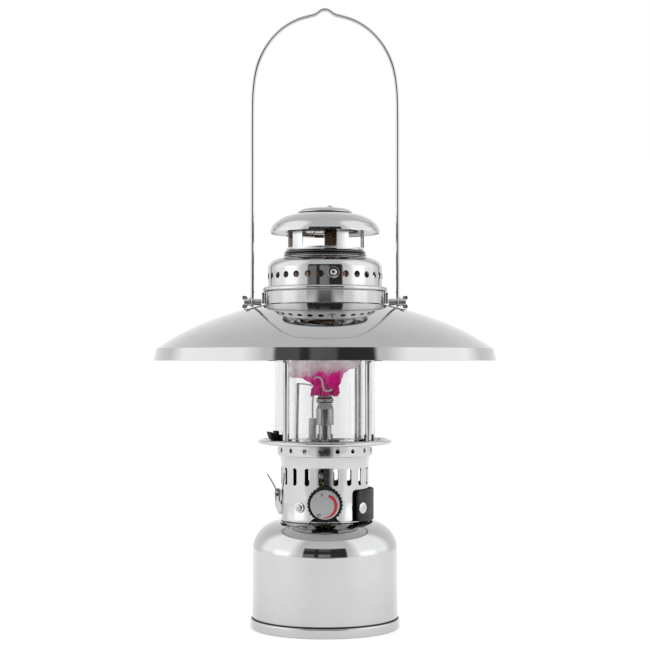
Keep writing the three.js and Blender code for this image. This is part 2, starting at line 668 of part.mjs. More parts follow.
function makeBail() {
  const { legX, wireRadius, eyeRadius, straightTop, peak } = BAIL;
  const foot = PIVOT.z + eyeRadius - 1;
  const rightSide = [
    [legX, foot],
    [legX, foot + 60],
    [legX, straightTop - 50],
    [legX, straightTop],
    [64.6, 484],
    [61.7, 502],
    [56.8, 515],
    [49.6, 526.6],
    [40.8, 536],
    [32, 542.2],
    [23.4, 546.4],
    [14, 549.2],
    [8.5, 550.8],
    [3.6, 554.2],
  ];
  const leftSide = rightSide.map(([x, z]) => [-x, z]).reverse();
  const route = [...rightSide, [0, peak], ...leftSide].map(([x, z]) => new THREE.Vector3(x, 0, z));
  const pieces = [wire(new THREE.CatmullRomCurve3(route, false, 'centripetal'), wireRadius, 8, 110)];
  const holes = [];
  for (const side of [-1, 1]) {
    const from = new THREE.Vector3(side * legX - 1.5, 0, PIVOT.z);
    const to = new THREE.Vector3(side * legX + 1.5, 0, PIVOT.z);
    pieces.push(rod(from, to, eyeRadius, 16));
    const holeFrom = from.clone().setX(side * legX - 4);
    holes.push(rod(holeFrom, to.clone().setX(side * legX + 4), PIVOT.holeRadius));
  }
  add('bail', cut(joined(pieces), holes), 'chrome');
}

makeBase();
makeCartridge();
makeValve();
makeBurner();
makeMantle();
makeIgnition();
makeIgniterLever();
makeCage();
makeGrip();
makeGallery();
makeGlass();
makeGlobeLatch();
makePosts();
makeShade();
makeHood();
makeVent();
makeCap();
makeBailSide(-1, 'left');
makeBailSide(1, 'right');
makeBail();

export default lantern;
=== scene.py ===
"""The looks of a chrome gas mantle lantern with a reflector shade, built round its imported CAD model.

Lengths in this script are millimetres, and become metres when a mesh is made.
"""
import json
import math
from types import SimpleNamespace as Sizes

import bmesh
import bpy
from mathutils import Matrix, Vector, noise


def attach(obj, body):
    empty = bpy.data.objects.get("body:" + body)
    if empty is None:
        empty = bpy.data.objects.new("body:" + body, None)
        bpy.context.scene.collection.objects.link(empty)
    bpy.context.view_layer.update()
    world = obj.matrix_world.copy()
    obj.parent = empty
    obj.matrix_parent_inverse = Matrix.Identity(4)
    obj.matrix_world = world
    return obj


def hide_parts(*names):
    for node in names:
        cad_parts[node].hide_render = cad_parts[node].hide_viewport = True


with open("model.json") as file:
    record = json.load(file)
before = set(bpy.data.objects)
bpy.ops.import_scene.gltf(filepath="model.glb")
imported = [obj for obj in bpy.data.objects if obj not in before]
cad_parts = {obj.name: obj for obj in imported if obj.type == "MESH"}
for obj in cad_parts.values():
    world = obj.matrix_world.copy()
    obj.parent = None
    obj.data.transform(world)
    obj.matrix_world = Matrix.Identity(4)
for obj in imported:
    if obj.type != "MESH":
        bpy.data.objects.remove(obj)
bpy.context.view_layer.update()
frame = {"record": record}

MM = 0.001
ROUND = 224  # sides of a large turned piece
FINE_ROUND = 432  # sides of a turned piece that is pierced afterwards
SMALL = 48  # sides of a small turned piece
SMOOTH_ANGLE = math.radians(32)  # edges sharper than this stay sharp
AXIS_Z = Vector((0, 0, 1))
FAR = 100  # a distance beyond every piece that a direction is aimed past

# ---- Driving dimensions, the same as the CAD part's. Heights are measured from the ground. ----

SHEET = 1.0  # thickness of the pressed sheet metal
GAP = 0.3  # clearance between pieces that touch
FOOT = Sizes(radius=67, height=8.7, flange_width=6.5)
BASE = Sizes(radius=65.4, shoulder_z=68, shoulder_radius=27.4, opening_radius=36)
CARTRIDGE = Sizes(radius=34, wall=1.6, bottom=3.4, top=87)
CAGE = Sizes(radius=39.2, bottom=95.7, flare_z=145, band_radius=42.5, band_z=153.5, top=162.5)
CAGE_SLOTS = Sizes(count=19, phase=-5, width=4.7, height=15.3, z=135.6)
CAGE_HOLES = Sizes(count=18, phase=-5, radius=2, z=158.5)
CAGE_SCREWS = {"cage_screw_front": -34, "cage_screw_rear": 152, "cage_screw_left": 236}
CAGE_SCREW_Z = 109
WASHER_RADIUS = {"cage": 4.5, "hood": 5}
KNOB = Sizes(radius=15.5, face_radius=12.8, z=113.4, back=43, front=53.5)
GRIP = Sizes(inner=41.2, outer=43.7, bottom=96.3, top=124, half_length=32.7, corner=5, rivet_z=108.5)
GRIP_RIVETS = {"grip_rivet_front": 48.5, "grip_rivet_rear": 131.5}
IGNITER = Sizes(pivot_x=-43.2, pivot_z=120.5, plunger_z=111, half_width=5)
LEAD_RADIUS = 1.1
SPARK_BOX = Sizes(x=-26, width=22.4, depth=14, z=125, height=42)
GALLERY = Sizes(radius=60, roll_radius=2.25, roll_z=165.5, plate_top=164.5, seat_top=165.4)
GLASS = Sizes(radius=45, wall=2.2, bottom=165.9, top=283.4)
SEAT_RING = Sizes(inner=40.2, outer=41.4, top=169)
GLOBE_CLIPS = {"globe_clip_left": -58, "globe_clip_right": 58, "globe_clip_rear": 180}
LATCH_ANGLE = -62
POSTS = Sizes(radius=2.8, circle=51, turn=3, top=283.7)
TOP_RING = Sizes(inner=42, outer=54.5, height=2.3)
POST_ANGLES = {"front_left": -45, "front_right": 45, "rear_right": 135, "rear_left": 225}
BURNER = Sizes(tube_radius=5.8, bore=4.8, sleeve_bottom=181.3, head_bottom=200, head_top=210.2)
ELECTRODE = Sizes(x=-11.3, y=9, insulator_bottom=158, insulator_top=187, tip=212)
GROUND_ROD = Sizes(radius=1.8, wire_radius=0.6)
GUARD_ROD = Sizes(x=29, y=24, top=258, radius=1.8)
SHADE = Sizes(rim_radius=153.5, rim_z=238, crease_radius=151.2, crease_z=248.5, top_radius=56, top_z=287.8)
BAND = Sizes(radius=54.5, bottom=288.5, flange_radius=56.5, top=303.8)
DRUM = Sizes(radius=51.6, bottom=304.1, shoulder_z=320, neck_z=330.2, neck_radius=35.2, top=336.6)
DRUM_HOLES = Sizes(count=29, phase=-4.3, radius=2.95, z=313.5)
HOOD_SCREWS = {"hood_screw_front": 1, "hood_screw_rear_right": 11, "hood_screw_rear_left": 20}  # for a hole
VENT = Sizes(radius=35.1, bottom=337, top=366, strips=5, strip_width=12, phase=-45)
CAP = Sizes(radius=49.7, rim_z=352.5, top=370.3, crown_radius=25, crown_z=370.7)
PIVOT = Sizes(z=290.6, sleeve_radius=3, stud_radius=2, hole_radius=2.3)
EAR = Sizes(inner=54.9, outer=57, bottom=288.9, top=299.1, half_width=8.4)
BAIL = Sizes(leg_x=65.4, wire_radius=1.6, eye_radius=4.3, straight_top=462, peak=555.2)
WING_NUT = Sizes(inner=68.5, hub_length=4.5, hub_radius=3.4, span=5.7, tip=74.8)

# ---- What only this script needs ----

CAMERA_AT = (0, -1.4, 0.235)  # in metres, as the next three are
CAMERA_TARGET = (0, 0, 0.270)
SOFTBOX_AT = (1.2, -0.9, 1.3)  # the right one; the left one mirrors it
SOFTBOX_TARGET = (0, 0, 0.25)
MANTLE_SIDES = {
    # share of the way from the mouth to the crown, distance from the axis, height
    "left": [
        (0, 9.8, 207), (0.1, 9.0, 211), (0.2, 10.4, 216), (0.3, 13, 220), (0.38, 17.5, 222.6),
        (0.48, 25, 222), (0.56, 30.5, 222.4), (0.64, 32.5, 227), (0.76, 30.5, 236), (0.88, 22, 244),
        (1, 0, 249.4),
    ],
    "right": [
        (0, 9.2, 207), (0.1, 8.6, 211), (0.2, 9.8, 216), (0.3, 11.2, 221), (0.38, 14.5, 226),
        (0.48, 20, 229.5), (0.56, 27, 231.5), (0.64, 31.5, 235), (0.76, 31, 241), (0.88, 22, 247),
        (1, 0, 249.4),
    ],
    "middle": [
        (0, 9.2, 207), (0.1, 8.6, 211), (0.2, 9.2, 216), (0.3, 10, 220.5), (0.38, 11.5, 224), (0.56, 13, 232),
        (0.76, 12.5, 241), (0.88, 8.5, 246.5), (1, 0, 249.4),
    ],
}

RECORD = frame["record"]
BODY_OF = {node: body for body, nodes in RECORD["behaviour"]["bodies"].items() for node in nodes}


# ---- Places ----

def around(degrees, distance, z=0.0):
    """A point at an angle from the front, turning towards +X, and at a distance from the lamp's axis."""
    angle = math.radians(degrees)
    return Vector((distance * math.sin(angle), -distance * math.cos(angle), z))


def ring_angles(pattern):
    """The angles of a row of evenly spaced openings."""
    return [pattern.phase + 360 / pattern.count * i for i in range(pattern.count)]


def along(start, towards):
    """The matrix that puts a piece made round the Z axis at a point, with its axis towards another."""
    start = Vector(start)
    turn = AXIS_Z.rotation_difference(Vector(towards) - start)
    return Matrix.Translation(start) @ turn.to_matrix().to_4x4()


def forwards(y):
    """Puts a piece made round the Z axis on the knob's axis, pointing to the front."""
    return along((0, y, KNOB.z), (0, -FAR, KNOB.z))


def sideways(side, x):
    """Puts a piece made round the Z axis on the bail's axis, pointing outwards on one side."""
    return along((side * x, 0, PIVOT.z), (side * FAR, 0, PIVOT.z))


# ---- Outlines: lists of (radius, height), or of (x, z) for a plate. A third value rounds that corner. ----

def arc(centre_radius, centre_z, across, up, start, end, steps=24):
    points = []
    for i in range(steps + 1):
        angle = math.radians(start + (end - start) * i / steps)
        points.append((centre_radius + across * math.cos(angle), centre_z + up * math.sin(angle)))
    return points


def rectangle(left, low, right, high, *roundings):
    """The corners of a rectangle, anticlockwise from the low left one, with four roundings, one or none."""
    if len(roundings) == 1:
        roundings *= 4
    corners = [(left, low), (right, low), (right, high), (left, high)]
    return [(*corner, *roundings[i:i + 1]) for i, corner in enumerate(corners)]


def rounded(outline, steps=5):
    """Replaces each corner that has a rounding by a curve that starts that far from the corner."""
    points = []
    count = len(outline)
    for i, corner in enumerate(outline):
        here = Vector(corner[:2])
        if len(corner) < 3 or corner[2] == 0:
            points.append(tuple(here))
            continue
        before = Vector(outline[i - 1][:2]) - here
        after = Vector(outline[(i + 1) % count][:2]) - here
        start = here + before.normalized() * min(corner[2], before.length * 0.49)
        end = here + after.normalized() * min(corner[2], after.length * 0.49)
        for k in range(steps + 1):
            t = k / steps
            points.append(tuple(start * (1 - t) ** 2 + here * 2 * t * (1 - t) + end * t ** 2))
    return points


def finished(outline):
    """An outline with its roundings made, if it has any."""
    return rounded(outline) if any(len(corner) > 2 for corner in outline) else outline


def spline(points, steps=12):
    """A smooth curve through points, with some steps between each two."""
    ends = [Vector(points[0]) * 2 - Vector(points[1])] + [Vector(p) for p in points]
    ends.append(Vector(points[-1]) * 2 - Vector(points[-2]))
    curve = []
    for i in range(1, len(ends) - 2):
        a, b, c, d = ends[i - 1:i + 3]
        for k in range(steps):
            t = k / steps
            curve.append(0.5 * (2 * b + (c - a) * t + (2 * a - 5 * b + 4 * c - d) * t ** 2
                                + (3 * b - a - 3 * c + d) * t ** 3))
    return curve + [ends[-2]]


def sheet_outline(outer, thickness=SHEET, follow=None):
    """The closed outline of sheet metal from its outer line, which runs from the rim up and inwards.

    The inner line runs at the thickness inside the outer one, or inside a simpler line to follow.
    """
    follow = follow or outer
    inner = []
    for i, (radius, z) in enumerate(follow):
        before = Vector(follow[max(i - 1, 0)])
        after = Vector(follow[min(i + 1, len(follow) - 1)])
        direction = (after - before).normalized()
        inner.append((max(radius - direction.y * thickness, 0), z + direction.x * thickness))
    return inner[::-1] + list(outer)


# ---- Meshes, in millimetres ----

def closed_up(shape, place=None):
    """Turns a mesh's faces outwards and puts it in its place."""
    bmesh.ops.recalc_face_normals(shape, faces=shape.faces)
    if place is not None:
        shape.transform(place)
    return shape


def turned(outline, sides=ROUND, place=None, radius_at=None):
    """A body turned about Z. Its outline starts and ends on the axis, or closes as a ring."""
    shape = bmesh.new()
    rings = []
    for radius, z in finished(outline):
        if radius < 1e-6:
            rings.append([shape.verts.new((0, 0, z))])
            continue
        ring = []
        for i in range(sides):
            angle = 2 * math.pi * i / sides
            r = radius_at(angle, radius, z) if radius_at else radius
            ring.append(shape.verts.new((r * math.sin(angle), -r * math.cos(angle), z)))
        rings.append(ring)
    is_ring = len(rings[0]) > 1 or len(rings[-1]) > 1
    following = rings[1:] + rings[:1] if is_ring else rings[1:]
    for low, high in zip(rings, following):
        for i in range(sides):
            k = (i + 1) % sides
            if len(low) == 1 and len(high) == 1:
                continue
            if len(low) == 1:
                shape.faces.new((low[0], high[k], high[i]))
            elif len(high) == 1:
                shape.faces.new((low[i], low[k], high[0]))
            else:
                shape.faces.new((low[i], low[k], high[k], high[i]))
    return closed_up(shape, place)


def rod(start, end, radius, sides=SMALL, rounding=0.4):
    length = (Vector(end) - Vector(start)).length
    edge = min(rounding, radius * 0.6)
    return turned([(0, 0), (radius, 0, edge), (radius, length, edge), (0, length)], sides, along(start, end))


def radial_holes(angles, near, far, z, radius, sides):
    """Cutters for round holes that run straight out from the lamp's axis."""
    return merged([rod(around(angle, near, z), around(angle, far, z), radius, sides, 0) for angle in angles])


def swept(points, radius, sides=20, end_radius=None):
    """A round body along points. Its last point may have another radius."""
    points = [Vector(p) for p in points]
    shape = bmesh.new()
    side = None
    rings = []
    for i, point in enumerate(points):
        ahead = points[min(i + 1, len(points) - 1)] - points[max(i - 1, 0)]
        direction = ahead.normalized()
        if side is None:
            side = direction.orthogonal().normalized()
        side = (side - direction * side.dot(direction)).normalized()
        up = direction.cross(side)
        if end_radius and i == len(points) - 1:
            radius = end_radius
        ring = []
        for k in range(sides):
            angle = 2 * math.pi * k / sides
            ring.append(shape.verts.new(point + (side * math.cos(angle) + up * math.sin(angle)) * radius))
        rings.append(ring)
    for low, high in zip(rings, rings[1:]):
        for k in range(sides):
            n = (k + 1) % sides
            shape.faces.new((low[k], low[n], high[n], high[k]))
    shape.faces.new(rings[0])
    shape.faces.new(rings[-1])
    return closed_up(shape)


def plate(outline, thickness, edge=0.0, place=None):
    """A plate of a closed outline in X and Z, centred on Y, with its edges rounded."""
    shape = bmesh.new()
    half = thickness / 2
    face = shape.faces.new([shape.verts.new((x, -half, z)) for x, z in finished(outline)])
    made = bmesh.ops.extrude_face_region(shape, geom=[face])["geom"]
    far_side = [v for v in made if isinstance(v, bmesh.types.BMVert)]
    bmesh.ops.translate(shape, vec=(0, thickness, 0), verts=far_side)
    bmesh.ops.recalc_face_normals(shape, faces=shape.faces)
    if edge:
        sharp = [e for e in shape.edges if e.calc_face_angle(0) > math.radians(40)]
        bmesh.ops.bevel(shape, geom=sharp, offset=edge, segments=3, affect="EDGES", profile=0.5,
                        clamp_overlap=True)
    if place is not None:
        shape.transform(place)
    return shape


def bent(shape, radius, degrees, half_length, cells):
    """Bends a plate round the lamp's axis, with its middle at an angle, after cutting it into cells."""
    for i in range(1, cells):
        x = -half_length + 2 * half_length * i / cells
        everything = [*shape.verts, *shape.edges, *shape.faces]
        bmesh.ops.bisect_plane(shape, geom=everything, plane_co=(x, 0, 0), plane_no=(1, 0, 0))
    for point in shape.verts:
        angle = degrees + math.degrees(point.co.x / radius)
        point.co = around(angle, radius - point.co.y, point.co.z)
    return shape


def curved_plate(inner, outer, low, top, degrees, half_width, edge):
    """A plate that follows a wall round the lamp's axis, with rounded edges."""
    radius = (inner + outer) / 2
    half_length = radius * math.asin(half_width / outer)
    flat = plate(rectangle(-half_length, low, half_length, top), outer - inner, edge)
    return bent(flat, radius, degrees, half_length, cells=16)


def stored(name, shape):
    """Blender's own mesh, made from a shape that isn't needed any more."""
    mesh = bpy.data.meshes.new(name)
    shape.to_mesh(mesh)
    shape.free()
    return mesh


def placed(name, data):
    """A new object in the scene."""
    made = bpy.data.objects.new(name, data)
    bpy.context.collection.objects.link(made)
    return made


def aim(made, location, target):
    made.location = location
    made.rotation_euler = (Vector(target) - made.location).to_track_quat("-Z", "Y").to_euler()


def merged(shapes):
    """One mesh that holds several."""
    whole = bmesh.new()
    for shape in shapes:
        scratch = stored("scratch", shape)
        whole.from_mesh(scratch)
        bpy.data.meshes.remove(scratch)
    return whole


def combined(shape, others, operation):
    """A mesh cut by, or joined to, others with Blender's exact boolean."""
    base = placed("scratch", stored("scratch", shape))
    helpers = [placed("scratch", stored("scratch", other)) for other in others]
    for helper in helpers:
        step = base.modifiers.new("combine", "BOOLEAN")
        step.operation = operation
        step.solver = "EXACT"
        step.object = helper
    result = bmesh.new()
    result.from_object(base, bpy.context.evaluated_depsgraph_get())
    for helper in [base, *helpers]:
        mesh = helper.data
        bpy.data.objects.remove(helper)
        bpy.data.meshes.remove(mesh)
    return result


def cut(shape, tools):
    return combined(shape, tools, "DIFFERENCE")


def joined(shape, others):
    return combined(shape, others, "UNION")


# ---- Pieces ----

def piece(name, shape, material, body):
    """Turns a mesh into a piece that rides on a body."""
    shape.transform(Matrix.Scale(MM, 4))
    mesh = stored(name, shape)
    mesh.shade_smooth()
    mesh.set_sharp_from_angle(angle=SMOOTH_ANGLE)
    mesh.materials.append(material)
    made = placed(name, mesh)
    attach(made, body)
    return made


def stand_in(node, shape, material):
    """A fine piece that is shown in place of a CAD node."""
    made = piece(f"{node}_form", shape, material, BODY_OF[node])
    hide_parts(node)
    return made


# ---- Materials ----

def scaled(color, factor):
    return tuple(c * factor for c in color)


class NodeKit:
    """Short ways to add nodes to a material's or the world's node tree."""

    def __init__(self, tree):
        self.nodes = tree.nodes
        self.links = tree.links

    def put(self, value, socket):
        """Feeds a socket from another one, or sets it to a plain value."""
        if isinstance(value, bpy.types.NodeSocket):
            self.links.new(value, socket)
        else:
            socket.default_value = value

    def add(self, kind, output, inputs=None, **settings):
        """One output of a new node."""
        made = self.nodes.new(f"ShaderNode{kind}")
        for name, value in settings.items():
            setattr(made, name, value)
        for name, value in (inputs or {}).items():
            self.put(value, made.inputs[name])
        return made.outputs[output]

    def math(self, operation, a, b=0.0):
        return self.add("Math", 0, {0: a, 1: b}, operation=operation)

    def mix(self, factor, a, b, blend="MIX"):
        return self.add("Mix", 2, {"Factor": factor, 6: a, 7: b}, data_type="RGBA", blend_type=blend)

    def split(self, vector):
        """The X, Y and Z of a vector."""
        made = self.nodes.new("ShaderNodeSeparateXYZ")
        self.put(vector, made.inputs["Vector"])
        return list(made.outputs)

    def spread(self, value, low, high, start=0.3, end=0.7):
        """Maps a value from start..end to low..high, and holds it at those ends."""
        inputs = {"Value": value, "From Min": start, "From Max": end, "To Min": low, "To Max": high}
        return self.add("MapRange", "Result", inputs)

    def ramp(self, value, stops):
        made = self.nodes.new("ShaderNodeValToRGB")
        elements = made.color_ramp.elements
        while len(elements) < len(stops):
            elements.new(0.5)
        for element, (position, color) in zip(elements, stops):
            element.position = position
            element.color = (*color, 1)
        self.put(value, made.inputs["Fac"])
        return made.outputs["Color"]


class Recipe(NodeKit):
    """A material, with ways to vary its surface."""

    def __init__(self, name, color, roughness, metallic=0.0):
        self.material = bpy.data.materials.new(name)
        self.material.use_nodes = True
        super().__init__(self.material.node_tree)
        self.shader = self.nodes["Principled BSDF"]
        self.set("Base Color", (*color, 1))
        self.set("Roughness", roughness)
        self.set("Metallic", metallic)
        self.place = self.add("TexCoord", "Object")

    def set(self, name, value):
        """Feeds or sets an input of the shader."""
        self.put(value, self.shader.inputs[name])

    def stretched(self, x, y, z):
        """The place on the object, scaled along each axis."""
        return self.add("Mapping", "Vector", {"Scale": (x, y, z), "Vector": self.place})

    def noise(self, scale, detail=3.0, place=None):
        return self.add("TexNoise", "Fac", {"Scale": scale, "Detail": detail, "Vector": place or self.place})

    def roughness(self, value, low, high):
        self.set("Roughness", self.spread(value, low, high))

    def tones(self, value, stops):
        self.set("Base Color", self.ramp(value, stops))

    def bump(self, height, strength, depth):
        """Raises the surface by a height map; depth is in millimetres."""
        inputs = {"Strength": strength, "Distance": depth * MM, "Height": height}
        self.set("Normal", self.add("Bump", "Normal", inputs))


def chrome(name, color=(0.50, 0.504, 0.508), low=0.03, high=0.08):
    """Polished plate: a mirror with faint smudges and the slight waviness of pressed sheet."""
    recipe = Recipe(name, color, low, metallic=1.0)
    smudge = recipe.noise(38, 5)
    recipe.roughness(smudge, low, high)
    recipe.tones(smudge, [(0.3, scaled(color, 0.95)), (0.65, color)])
    recipe.bump(recipe.noise(70, 2), 0.12, 0.05)
    return recipe.material


def machined(name, color, roughness):
    """Satin metal with fine lines from the lathe, which run round the Z axis."""
    recipe = Recipe(name, color, roughness, metallic=1.0)
    lines = recipe.noise(1, 4, recipe.stretched(60, 60, 5200))
    recipe.roughness(lines, roughness - 0.08, roughness + 0.1)
    recipe.tones(recipe.noise(160, 4), [(0.3, scaled(color, 0.82)), (0.7, color)])
    recipe.bump(lines, 0.35, 0.04)
    return recipe.material


def heated(name, bright_beyond=None):
    """Plated steel that heat has browned. Past a distance from the axis it has stayed bright."""
    recipe = Recipe(name, (0.30, 0.22, 0.17), 0.3, metallic=1.0)
    tint = recipe.noise(1, 4, recipe.stretched(30, 30, 90))
    color = recipe.ramp(tint, [
        (0.32, (0.34, 0.26, 0.20)), (0.47, (0.22, 0.145, 0.10)), (0.58, (0.13, 0.08, 0.055)),
        (0.72, (0.26, 0.20, 0.17)),
    ])
    if bright_beyond:
        x, y, _ = recipe.split(recipe.place)
        squares = [recipe.math("POWER", recipe.math("ABSOLUTE", value), 2) for value in (x, y)]
        distance = recipe.math("SQRT", recipe.math("ADD", *squares))
        edge = bright_beyond * MM
        bright = recipe.spread(distance, 0.0, 1.0, edge - 0.1 * MM, edge + 0.1 * MM)
        color = recipe.mix(bright, color, (0.58, 0.585, 0.59, 1))
    recipe.set("Base Color", color)
    recipe.roughness(recipe.noise(120, 4), 0.12, 0.3)
    recipe.bump(recipe.noise(90, 3), 0.15, 0.05)
    return recipe.material


def coated(recipe, weight, roughness):
    """A glossy clear layer over a material."""
    recipe.set("Coat Weight", weight)
    recipe.set("Coat Roughness", roughness)
    return recipe.material


def enamel(name, color):
    recipe = Recipe(name, color, 0.3)
    recipe.tones(recipe.noise(45, 4), [(0.3, scaled(color, 0.85)), (0.7, color)])
    recipe.roughness(recipe.noise(300, 3), 0.22, 0.38)
    recipe.bump(recipe.noise(900, 2), 0.2, 0.03)
    return coated(recipe, 0.5, 0.12)


def ceramic(name):
    recipe = Recipe(name, (0.86, 0.85, 0.82), 0.3)
    recipe.tones(recipe.noise(260, 5), [(0.3, (0.72, 0.71, 0.69)), (0.6, (0.88, 0.87, 0.85))])
    recipe.roughness(recipe.noise(500, 3), 0.22, 0.45)
    recipe.bump(recipe.noise(1200, 3), 0.2, 0.04)
    return coated(recipe, 0.4, 0.15)


def moulded(name, color=(0.006, 0.006, 0.0065)):
    """Matt black plastic with a fine moulded grain."""
    recipe = Recipe(name, color, 0.5)
    recipe.set("Specular IOR Level", 0.12)
    grain = recipe.noise(2600, 3)
    recipe.tones(recipe.noise(240, 4), [(0.3, color), (0.75, scaled(color, 2.2))])
    recipe.roughness(grain, 0.42, 0.6)
    recipe.bump(grain, 0.35, 0.06)
    return recipe.material


def woven_sheen(recipe, weight, roughness, specular):
    """The soft shine of fibres, on cloth or leather."""
    recipe.set("Sheen Weight", weight)
    recipe.set("Sheen Roughness", roughness)
    recipe.set("Specular IOR Level", specular)
    return recipe.material


def leather(name):
    """Black leather with a pebbled grain, a little lighter where it is rubbed."""
    recipe = Recipe(name, (0.02, 0.02, 0.024), 0.6)
    cells = {"Scale": 950, "Vector": recipe.place}
    pebbles = recipe.add("TexVoronoi", "Distance", cells, feature="DISTANCE_TO_EDGE")
    wrinkles = recipe.noise(420, 5)
    grain = recipe.math("ADD", recipe.math("MULTIPLY", pebbles, 1.6), recipe.math("MULTIPLY", wrinkles, 0.6))
    recipe.tones(recipe.noise(150, 5), [
        (0.3, (0.008, 0.008, 0.010)), (0.55, (0.017, 0.017, 0.020)), (0.8, (0.034, 0.033, 0.036)),
    ])
    recipe.roughness(wrinkles, 0.48, 0.72)
    recipe.bump(grain, 0.7, 0.25)
    return woven_sheen(recipe, 0.08, 0.4, 0.3)


def clear_glass(name):
    """Clear lamp glass, with the faint waves of a drawn tube."""
    recipe = Recipe(name, (0.88, 0.885, 0.885), 0.0)
    recipe.set("Transmission Weight", 1.0)
    recipe.set("IOR", 1.47)
    recipe.roughness(recipe.noise(60, 4), 0.0, 0.02)
    recipe.bump(recipe.noise(1, 2, recipe.stretched(45, 45, 8)), 0.05, 0.05)
    return recipe.material


def dial_metal(name):
    """Satin aluminium, brushed straight across."""
    recipe = Recipe(name, (0.46, 0.465, 0.47), 0.35, metallic=0.85)
    lines = recipe.noise(1, 4, recipe.stretched(120, 120, 6500))
    recipe.tones(lines, [(0.3, (0.38, 0.385, 0.39)), (0.7, (0.50, 0.505, 0.51))])
    recipe.roughness(lines, 0.3, 0.46)
    recipe.bump(lines, 0.25, 0.03)
    return recipe.material


def ink(name, color):
    recipe = Recipe(name, color, 0.4)
    recipe.tones(recipe.noise(700, 4), [(0.25, scaled(color, 0.8)), (0.6, color)])
    recipe.roughness(recipe.noise(1500, 2), 0.32, 0.5)
    return recipe.material


def mantle_cloth(name):
    """Open net cloth, dyed magenta round its mouth and fading to white above."""
    threads_round = 62
    threads_up = 26
    recipe = Recipe(name, (0.85, 0.82, 0.84), 0.85)
    across, up, _ = recipe.split(recipe.add("TexCoord", "UV"))
    waves = [
        recipe.math("SINE", recipe.math("MULTIPLY", value, 2 * math.pi * count))
        for value, count in ((across, threads_round), (up, threads_up))
    ]
    holes = recipe.math("MULTIPLY", *waves)
    ragged = recipe.math("MULTIPLY", recipe.math("SUBTRACT", recipe.noise(110, 4), 0.5), 0.42)
    dyed = recipe.math("ADD", up, ragged)
    dye = recipe.ramp(dyed, [
        (0.0, (0.80, 0.008, 0.29)), (0.28, (0.88, 0.014, 0.34)), (0.40, (0.86, 0.05, 0.39)),
        (0.46, (0.86, 0.42, 0.58)), (0.60, (0.90, 0.76, 0.83)), (0.85, (0.92, 0.90, 0.92)),
    ])
    # Painted shade: a stretched noise darkens the colour in streaks that stand for the shadows in the folds,
    # most strongly where the cloth is dyed.
    fold_shade_noise = recipe.noise(1, 4, recipe.stretched(330, 330, 120))
    painted_fold_shade = recipe.ramp(fold_shade_noise, [(0.38, (0.42,) * 3), (0.52, (1.0,) * 3)])
    color = recipe.mix(recipe.spread(dyed, 1.0, 0.25, 0.3, 0.5), dye, painted_fold_shade, "MULTIPLY")
    recipe.set("Base Color", color)
    recipe.set("Emission Color", color)  # painted glow: a faint emission that brightens the cloth where the reflector shades it
    recipe.set("Emission Strength", 0.1)
    open_net = recipe.spread(holes, 1.0, 0.08, 0.34, 0.5)
    closed_low = recipe.spread(dyed, 1.0, 0.0, 0.38, 0.48)
    recipe.set("Alpha", recipe.math("MAXIMUM", open_net, closed_low))
    recipe.roughness(recipe.noise(400, 3), 0.75, 0.95)
    recipe.bump(recipe.math("ADD", holes, recipe.noise(700, 4)), 0.6, 0.15)
    return woven_sheen(recipe, 0.1, 0.5, 0.15)


def twisted_cord(name):
    """White cotton cord, with strands that run slantwise."""
    recipe = Recipe(name, (0.85, 0.84, 0.82), 0.8)
    strands = recipe.add("TexWave", "Fac", {"Scale": 420, "Distortion": 2.5, "Vector": recipe.place})
    recipe.tones(strands, [(0.2, (0.62, 0.60, 0.58)), (0.7, (0.88, 0.87, 0.85))])
    recipe.roughness(strands, 0.7, 0.9)
    recipe.bump(strands, 0.6, 0.15)
    recipe.set("Sheen Weight", 0.3)
    return recipe.material


CHROME = chrome("chrome")
STEEL = machined("satin_steel", (0.56, 0.56, 0.57), 0.34)
DARK_CHROME = chrome("dark_chrome", (0.09, 0.088, 0.085), 0.05, 0.14)
BURNER_STEEL = chrome("burner_steel", (0.34, 0.335, 0.33), 0.08, 0.2)
SHADE_INSIDE = machined("shade_inside", (0.92, 0.92, 0.91), 0.5)
HEATED = heated("heated_steel")
BROWNED_INSIDE = heated("steel_browned_inside", bright_beyond=VENT.radius - SHEET / 2)
BRASS = machined("brass", (0.74, 0.58, 0.30), 0.28)
PLASTIC = moulded("black_plastic")
PAINT = enamel("cartridge_enamel", (0.10, 0.16, 0.22))
LEATHER = leather("grip_leather")
CERAMIC = ceramic("white_ceramic")
GLASS_CLEAR = clear_glass("lamp_glass")
DIAL = dial_metal("dial_metal")
RED_INK = ink("red_ink", (0.40, 0.008, 0.02))
BLACK_INK = ink("black_ink", (0.02, 0.02, 0.022))
CLOTH = mantle_cloth("mantle_cloth")
CORD = twisted_cord("tie_cord")


# ---- Base and cartridge ----

